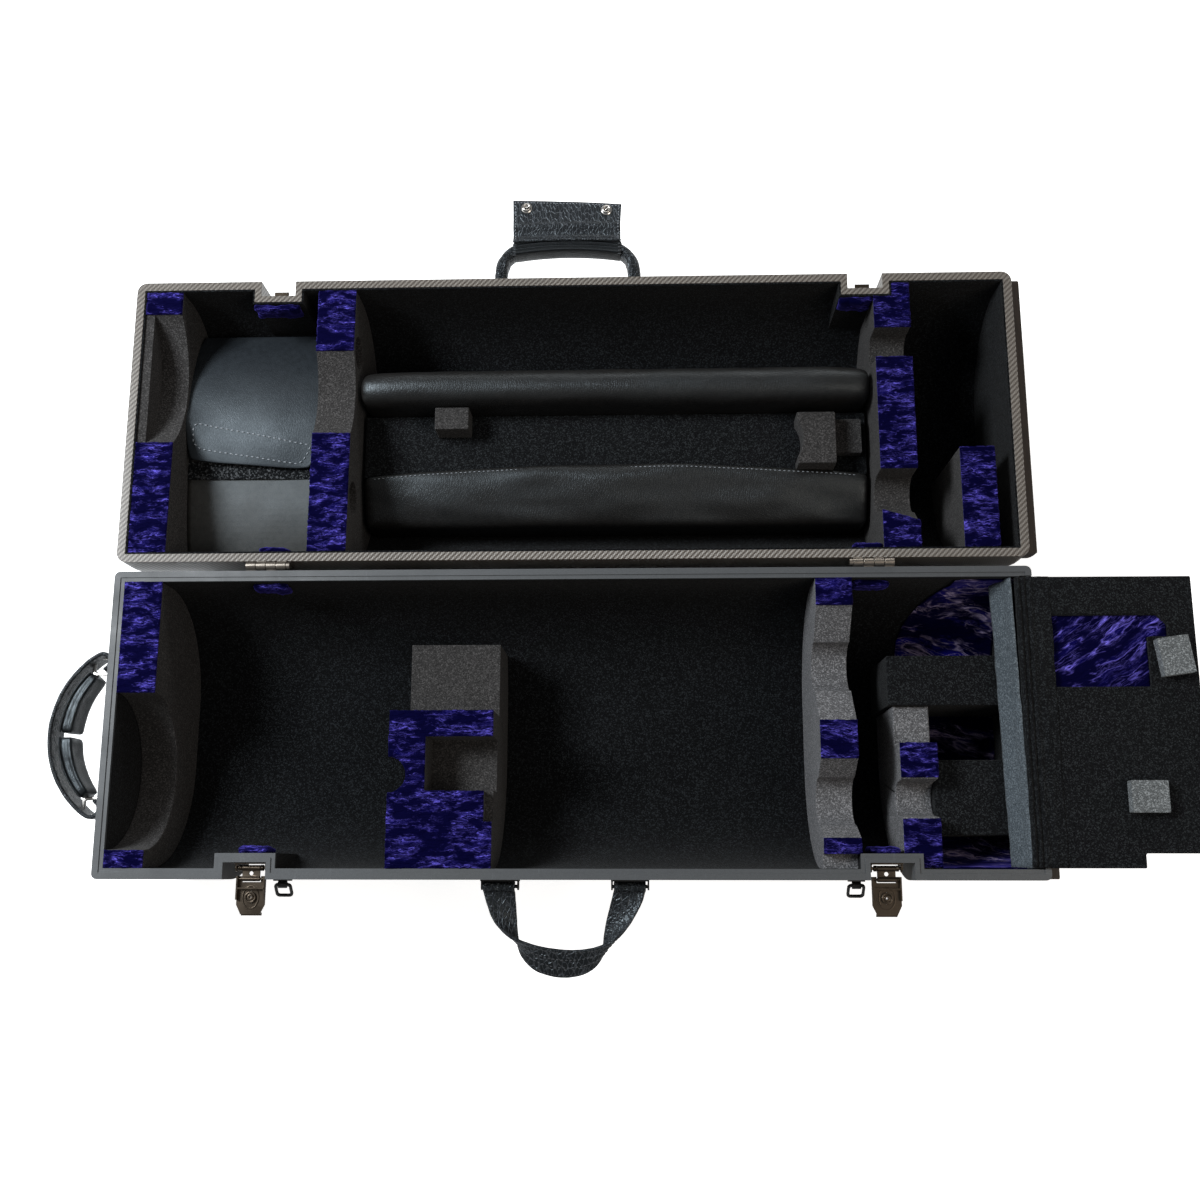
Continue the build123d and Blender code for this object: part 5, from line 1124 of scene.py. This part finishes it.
# ---------------------------------------------------------------- stitched handle of the lid
class CLARINETCASE_OT_lid_handle(bpy.types.Operator):
    """Make the lid's handle of stacked leather, its open wrap and its press studs"""

    bl_idname = "clarinet_case.lid_handle"
    bl_label = "Lid handle"

    def execute(self, context):
        low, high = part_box("lid_handle_strap")
        middle_x = (low.x + high.x) / 2
        half = (high.x - low.x) / 2 - 0.006
        pin_y = LID_HIGH.y + 0.0054
        far_y = high.y - 0.006
        grip_z = (low.z + high.z) / 2
        corner = 0.024
        left = [
            Vector((middle_x - half, pin_y, grip_z)),
            Vector((middle_x - half - 0.0004, pin_y + 0.008, grip_z)),
        ]
        for degrees in range(0, 91, 15):
            turn = math.radians(degrees)
            left.append(Vector((
                middle_x - half + corner * (1 - math.cos(turn)),
                far_y - corner * (1 - math.sin(turn)), grip_z,
            )))
        left.append(Vector((middle_x - 0.018, far_y + 0.0008, grip_z)))
        right = [Vector((2 * middle_x - place.x, place.y, place.z)) for place in reversed(left)]
        path = through(left + right, 4)
        stations = []
        for place, way in zip(path, headings(path)):
            out = min(1.0, (place.y - pin_y) / 0.015)
            width = 0.0108 if place.y > pin_y + 0.02 else 0.0118
            stations.append(station(place, way, Vector((0, 0, 1)), 0.008 + 0.0135 * out, width))
        mesh = bmesh.new()
        sweep(mesh, round_section(1.0, 1.0, 0.42, 5), stations)
        swell(mesh, 0.0, 0.0003, (0.005, 0.005, 0.005))
        legs = as_object("lid_handle_leather", mesh)
        finish_piece(legs, "strap_leather", "lid_handle", "leather_black", "lid_handle_strap", levels=1)

        grip_half = 0.0505
        ridge = 0.0034
        outline = []
        for index in range(4):
            for share in (0.06, 0.28, 0.5, 0.72, 0.94):
                outline.append((
                    ridge * (index + share - 2), 0.0105 + 0.0016 * math.sin(math.pi * share) ** 0.7))
        outline += [(2 * ridge, 0.004), (2 * ridge - 0.0006, -0.006), (0.004, -0.0112)]
        outline += [(-0.004, -0.0112), (-2 * ridge + 0.0006, -0.006), (-2 * ridge, 0.004)]
        stations = []
        for step in range(41):
            share = 2 * step / 40 - 1
            arch = 0.0042 * share ** 2
            tip = 0.93 if abs(share) > 0.97 else 1.0
            place = Vector((middle_x + grip_half * share, far_y + 0.0008 - arch, grip_z))
            stations.append(station(place, Vector((1, -0.17 * share, 0)), Vector((0.0, 1.0, 0.0)), tip, tip))
        mesh = bmesh.new()
        sweep(mesh, outline, stations)
        grip = as_object("lid_handle_grip", mesh)
        finish_piece(grip, "smooth_leather", "lid_handle", "leather_black", levels=1)

        seam = bmesh.new()
        top = Vector((0, 0, 1))
        for offset in (-0.0022, 0.0022):
            for leg in (path[2:len(path) // 4], list(reversed(path))[2:len(path) // 4]):
                line = [
                    place + Vector((offset, 0, 0.0112 * min(1.0, (place.y - pin_y + 0.004) / 0.015)))
                    for place in leg
                ]
                sew(seam, line, [top] * len(line), 0.0034, 0.0023, STITCH_THREAD)
        for end in (-1, 1):
            for index in range(5):
                spot = middle_x + end * (grip_half - 0.0022)
                y = far_y - 0.0042 + ridge * (index - 1.8)
                cross = [Vector((spot + reach, y, grip_z + 0.0118)) for reach in (-0.001, 0.001)]
                sew(seam, cross, [top, top], 0.002, 0.0046, 0.0006)
        stitches = as_object("lid_handle_stitches", seam)
        finish_piece(stitches, "dark_thread", "lid_handle", "leather_black")

        self.wrap(middle_x)
        return {"FINISHED"}

    def wrap(self, middle_x):
        """The fold-over wrap, lying open beyond the grip, with its two stud sockets."""
        low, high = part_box("grip_wrap")
        hinge_y = high.y - 0.042
        top_z = high.z

        def place(across, along):
            """Across 0..1 from the left, along 0..1 from the fold."""
            reach = 0.0405 - 0.0050 * across
            bent = along * reach
            dip = 0.0030 * math.sin(math.pi * min(1.0, bent / 0.0125)) ** 1.3 if bent < 0.0125 else 0.0
            crease = 0.0007 * math.exp(-((bent - 0.0145) / 0.0018) ** 2)
            sag = 0.0009 * math.sin(math.pi * across) * along
            narrow = 0.0012 * (1 - along) + 0.0008 * math.sin(math.pi * along)
            x = low.x + narrow * 0.3 + (high.x - low.x - narrow) * across
            wave = 0.0003 * lumps(Vector((across * 3, along * 1.2, 0.3)), (1, 1, 1), 2)
            bow = 0.0012 * math.sin(math.pi * across)
            return Vector((x, hinge_y + bent + bow, top_z - dip + crease - sag + wave))

        mesh, area = sheet_mesh(place, 44, 24)
        panel = as_object("grip_wrap_leather", mesh)
        thicken(panel, sizes().leather_thickness, cut_edge=0.0006)
        finish_piece(panel, "wrap_leather", "handle_wrap", "leather_black", "grip_wrap")

        seam = bmesh.new()
        margin = [(0.022, 0.04 + 0.9 * step / 30) for step in range(31)]
        margin += [(0.022 + 0.956 * step / 60, 0.94) for step in range(1, 61)]
        margin += [(0.978, 0.94 - 0.9 * step / 30) for step in range(1, 31)]
        line = [place(u, v) + Vector((0, 0, 0.0001)) for u, v in margin]
        sew(seam, line, [Vector((0, 0, 1))] * len(line), 0.0030, 0.0020, STITCH_THREAD)
        stitches = as_object("grip_wrap_stitches", seam)
        finish_piece(stitches, "thread", "handle_wrap", "leather_black")
        min(area, 0.100 * 0.0425)

        mesh = bmesh.new()
        for across, along in ((0.125, 0.80), (0.865, 0.80)):
            spot = place(across, along)
            for profile in (
                ((0.0, 0.0), (5.0, 0.0), (5.2, 0.3), (5.0, 0.7), (4.2, 0.9), (3.9, 1.3), (3.7, 2.2),
                 (3.3, 2.7), (2.7, 2.75), (2.3, 2.4), (2.1, 1.4), (0.0, 1.2)),
                ((0.0, 1.2), (0.9, 1.2), (1.0, 1.9), (0.6, 2.2), (0.0, 2.25)),
            ):
                verts = [mesh.verts.new(spot + Vector((x * MM, 0.0, z * MM))) for x, z in profile]
                wire = [mesh.edges.new(pair) for pair in zip(verts, verts[1:])]
                bmesh.ops.spin(
                    mesh, geom=verts + wire, cent=spot, axis=(0, 0, 1), dvec=(0, 0, 0),
                    angle=math.tau, steps=32, use_merge=True)
        bmesh.ops.remove_doubles(mesh, verts=mesh.verts, dist=0.00002)
        bmesh.ops.recalc_face_normals(mesh, faces=mesh.faces)
        studs = as_object("press_stud_sockets", mesh)
        finish_piece(studs, "bright_nickel", "handle_wrap", "stud_nickel", "press_studs")


# ---------------------------------------------------------------- side handle
class CLARINETCASE_OT_side_handle(bpy.types.Operator):
    """Make the side handle: a stitched outer band and two padded inner wraps"""

    bl_idname = "clarinet_case.side_handle"
    bl_label = "Side handle"

    def execute(self, context):
        low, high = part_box("side_handle_grip")
        middle_z = (low.z + high.z) / 2
        centre = Vector((low.x + 0.087, (low.y + high.y) / 2, middle_z))
        up = Vector((0, 0, 1))
        outer = 0.0850
        path = []
        for degrees in range(-53, 54, 4):
            turn = math.radians(degrees)
            path.append(centre + outer * Vector((-math.cos(turn), math.sin(turn), 0.0)))
        ends = []
        for end in (-1, 1):
            turn = math.radians(53 * end)
            tip = centre + outer * Vector((-math.cos(turn), math.sin(turn), 0.0))
            hook = [tip + Vector((x, y * end, 0.0)) * MM for x, y in (
                (5.5, 3.0), (11.0, 2.4), (14.5, -2.0), (13.5, -7.5), (9.0, -11.5))]
            ends.append(hook)
        path = through(list(reversed(ends[0])) + path + ends[1], 3)
        stations = [station(place, way, up) for place, way in zip(path, headings(path))]
        mesh = bmesh.new()
        sweep(mesh, band_section(0.0275, 0.0036, 0.0040, 8), stations)
        swell(mesh, 0.0, 0.0003, (0.006, 0.006, 0.006))
        band = as_object("side_handle_band", mesh)
        finish_piece(band, "strap_leather", "side_handle", "leather_black", "side_handle_grip", levels=1)

        seam = bmesh.new()
        for face in (1, -1):
            line = [place + up * face * 0.0136 for place in path]
            for start, finish in zip(line, line[1:]):
                steps = max(1, round((finish - start).length / 0.0016))
                for step in range(steps):
                    spot = start.lerp(finish, (step + 0.5) / steps)
                    way = (finish - start).normalized()
                    slant = way.cross(up) + way * 0.5
                    turn = station(spot, slant, up.cross(slant))
                    shape = Matrix.Diagonal((0.00042, 0.0005, 0.0021, 1.0))
                    bmesh.ops.create_icosphere(seam, subdivisions=1, radius=1.0, matrix=turn @ shape)
        stitches = as_object("side_handle_stitches", seam)
        finish_piece(stitches, "dark_thread", "side_handle", "leather_black")

        mesh = bmesh.new()
        piping = bmesh.new()
        for start, finish in ((-46, -1.3), (1.3, 46)):
            stations, edge = [], []
            steps = 26
            for step in range(steps + 1):
                share = step / steps
                turn = math.radians(start + (finish - start) * share)
                reach = Vector((-math.cos(turn), math.sin(turn), 0.0))
                away = abs(start + (finish - start) * share) / 46.0
                tip = min(1.0, 0.90 + 0.1 * min(share, 1 - share) * 14)
                thickness = (0.0118 - 0.0030 * away ** 2) * tip
                place = centre + reach * (0.0770 - thickness / 2)
                way = Vector((math.sin(turn), math.cos(turn), 0.0))
                stations.append(station(place, way, up, tip * 0.98, thickness))
                edge.append(centre + reach * 0.0758 + up * 0.0136 * tip)
            outline = [
                (x * 0.0275, y) for x, y in (
                    (0.50, 0.30), (0.49, 0.44), (0.44, 0.50), (0.20, 0.47), (0.0, 0.46), (-0.20, 0.47),
                    (-0.44, 0.50), (-0.49, 0.44), (-0.50, 0.30), (-0.46, 0.12), (-0.49, -0.10),
                    (-0.47, -0.36), (-0.36, -0.49), (0.0, -0.52), (0.36, -0.49), (0.47, -0.36),
                    (0.49, -0.10), (0.46, 0.12))
            ]
            sweep(mesh, outline, stations)
            beads = [
                station(place, way, up, 0.0011, 0.0011)
                for place, way in zip(edge, headings(edge))
            ]
            sweep(piping, round_section(1.6, 1.6, 0.5, 3), beads)
        swell(mesh, 0.0, 0.0004, (0.008, 0.008, 0.008))
        wraps = as_object("side_handle_padding", mesh)
        finish_piece(wraps, "smooth_leather", "side_handle", "leather_black", "side_handle_wraps", levels=1)
        beads = as_object("side_handle_piping", piping)
        finish_piece(beads, "smooth_leather", "side_handle", "leather_black", levels=1)
        return {"FINISHED"}


CLOTH_ROWS = 60
CLOTH_THICKNESS = 0.0010


class CLARINETCASE_OT_flap(bpy.types.Operator):
    """Finish the compartment flap and its cloth hinge"""

    bl_idname = "clarinet_case.flap"
    bl_label = "Compartment flap"

    def execute(self, context):
        soften("flap_panel", "flap_felt", 0.0012)
        low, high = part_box("flap_cloth")
        axis_x = low.x + 0.0015
        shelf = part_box("base_shelves")[1].z
        hung = [(axis_x + x, RIM + z) for x, z in (
            (-0.0006, -0.0030), (-0.0030, -0.0042), (-0.0040, -0.008), (-0.0052, -0.014))]
        hung += [(axis_x - 0.0085, shelf + 0.010), (axis_x - 0.0120, shelf + 0.0012)]
        laid = [(axis_x + x, RIM + z) for x, z in (
            (-0.0082, -0.0046), (-0.0078, -0.0012), (-0.0058, 0.0008), (-0.0036, -0.0012),
            (-0.0014, 0.0009), (0.0008, -0.0010), (0.0034, 0.0008), (0.0072, -0.0002),
            (0.0110, 0.0008), (0.0150, 0.0004), (0.0200, 0.0003))]
        for name, node, body, profile, finish, held, rests in (
            ("hinge_cloth_apron", "flap_anchor_cloth", "base", hung, "hinge_cloth", "hung", "base_shelves"),
            ("hinge_cloth_fold", "flap_cloth", "compartment_flap", laid, "flap_felt", "laid", "flap_panel"),
        ):
            path = through([Vector((x, 0.0, z)) for x, z in profile], 5)

            def place(share, side):
                """Share along the path, side from the front wall to the hinge wall."""
                spot = at_share(path, share)
                y = low.y + (high.y - low.y) * side
                lean = 0.0060 + 0.0045 * side if held == "hung" else 0.0
                rumple = 0.0005 * lumps(Vector((share * 0.05, y, 0.4)), (0.02, 0.016, 0.02), 2)
                return Vector((spot.x - lean + rumple, y, spot.z + rumple * 0.7))

            mesh, area = sheet_mesh(place, len(path) - 1, CLOTH_ROWS)
            cloth = as_object(name, mesh)
            thicken(cloth, CLOTH_THICKNESS, "Cloth")
            finish_piece(cloth, finish, body, "hinge_cloth", node)
            length = sum((b - a).length for a, b in zip(path, path[1:]))
        return {"FINISHED"}


class CLARINETCASE_OT_metalwork(bpy.types.Operator):
    """Finish hinges, latches, brackets and rings"""

    bl_idname = "clarinet_case.metalwork"
    bl_label = "Metalwork"

    def execute(self, context):
        edge = sizes().metal_edge
        for finish, nodes in (
            ("nickel", "base_hinge_leaves lid_hinge_leaves hinge_pins base_rivets lid_rivets"),
            ("bright_nickel", "side_handle_rings"),
            ("black_metal", "strap_ring_left strap_ring_right base_brackets lid_handle_brackets"),
            ("bronze", "latch_plates latch_pins latch_springs latch_link_left latch_link_right"),
            ("bronze", "latch_lever_left latch_lever_right latch_lock_left latch_lock_right"),
            ("bronze", "latch_catches"),
        ):
            for node in nodes.split():
                soften(node, finish, edge)
        return {"FINISHED"}


class CLARINETCASE_PT_panel(bpy.types.Panel):
    """Lists the pieces of the case"""

    bl_idname = "CLARINETCASE_PT_panel"
    bl_label = "Clarinet case"
    bl_space_type = "VIEW_3D"
    bl_region_type = "UI"
    bl_category = "Clarinet case"

    def draw(self, context):
        for operator in OPERATORS:
            self.layout.operator(operator.bl_idname)
        for settings in (context.scene.clarinet_case_sizes, context.scene.clarinet_case_colours):
            column = self.layout.column()
            for name in settings.__annotations__:
                column.prop(settings, name)


OPERATORS = (
    CLARINETCASE_OT_stage,
    CLARINETCASE_OT_shells,
    CLARINETCASE_OT_blocks,
    CLARINETCASE_OT_velvet,
    CLARINETCASE_OT_tray,
    CLARINETCASE_OT_pouch,
    CLARINETCASE_OT_base_handle,
    CLARINETCASE_OT_lid_handle,
    CLARINETCASE_OT_side_handle,
    CLARINETCASE_OT_flap,
    CLARINETCASE_OT_metalwork,
)
CLASSES = (ClarinetCaseSizes, ClarinetCaseColours, *OPERATORS, CLARINETCASE_PT_panel)


def register():
    """Adds the settings, the operators and the panel."""
    for cls in CLASSES:
        bpy.utils.register_class(cls)
    bpy.types.Scene.clarinet_case_sizes = bpy.props.PointerProperty(type=ClarinetCaseSizes)
    bpy.types.Scene.clarinet_case_colours = bpy.props.PointerProperty(type=ClarinetCaseColours)


def unregister():
    """Takes them away again."""
    del bpy.types.Scene.clarinet_case_colours
    del bpy.types.Scene.clarinet_case_sizes
    for cls in reversed(CLASSES):
        bpy.utils.unregister_class(cls)


def main():
    """Builds the dressed case on the stage."""
    register()
    for operator in OPERATORS:
        group, name = operator.bl_idname.split(".")
        getattr(getattr(bpy.ops, group), name)()


if __name__ == "__main__":
    main()
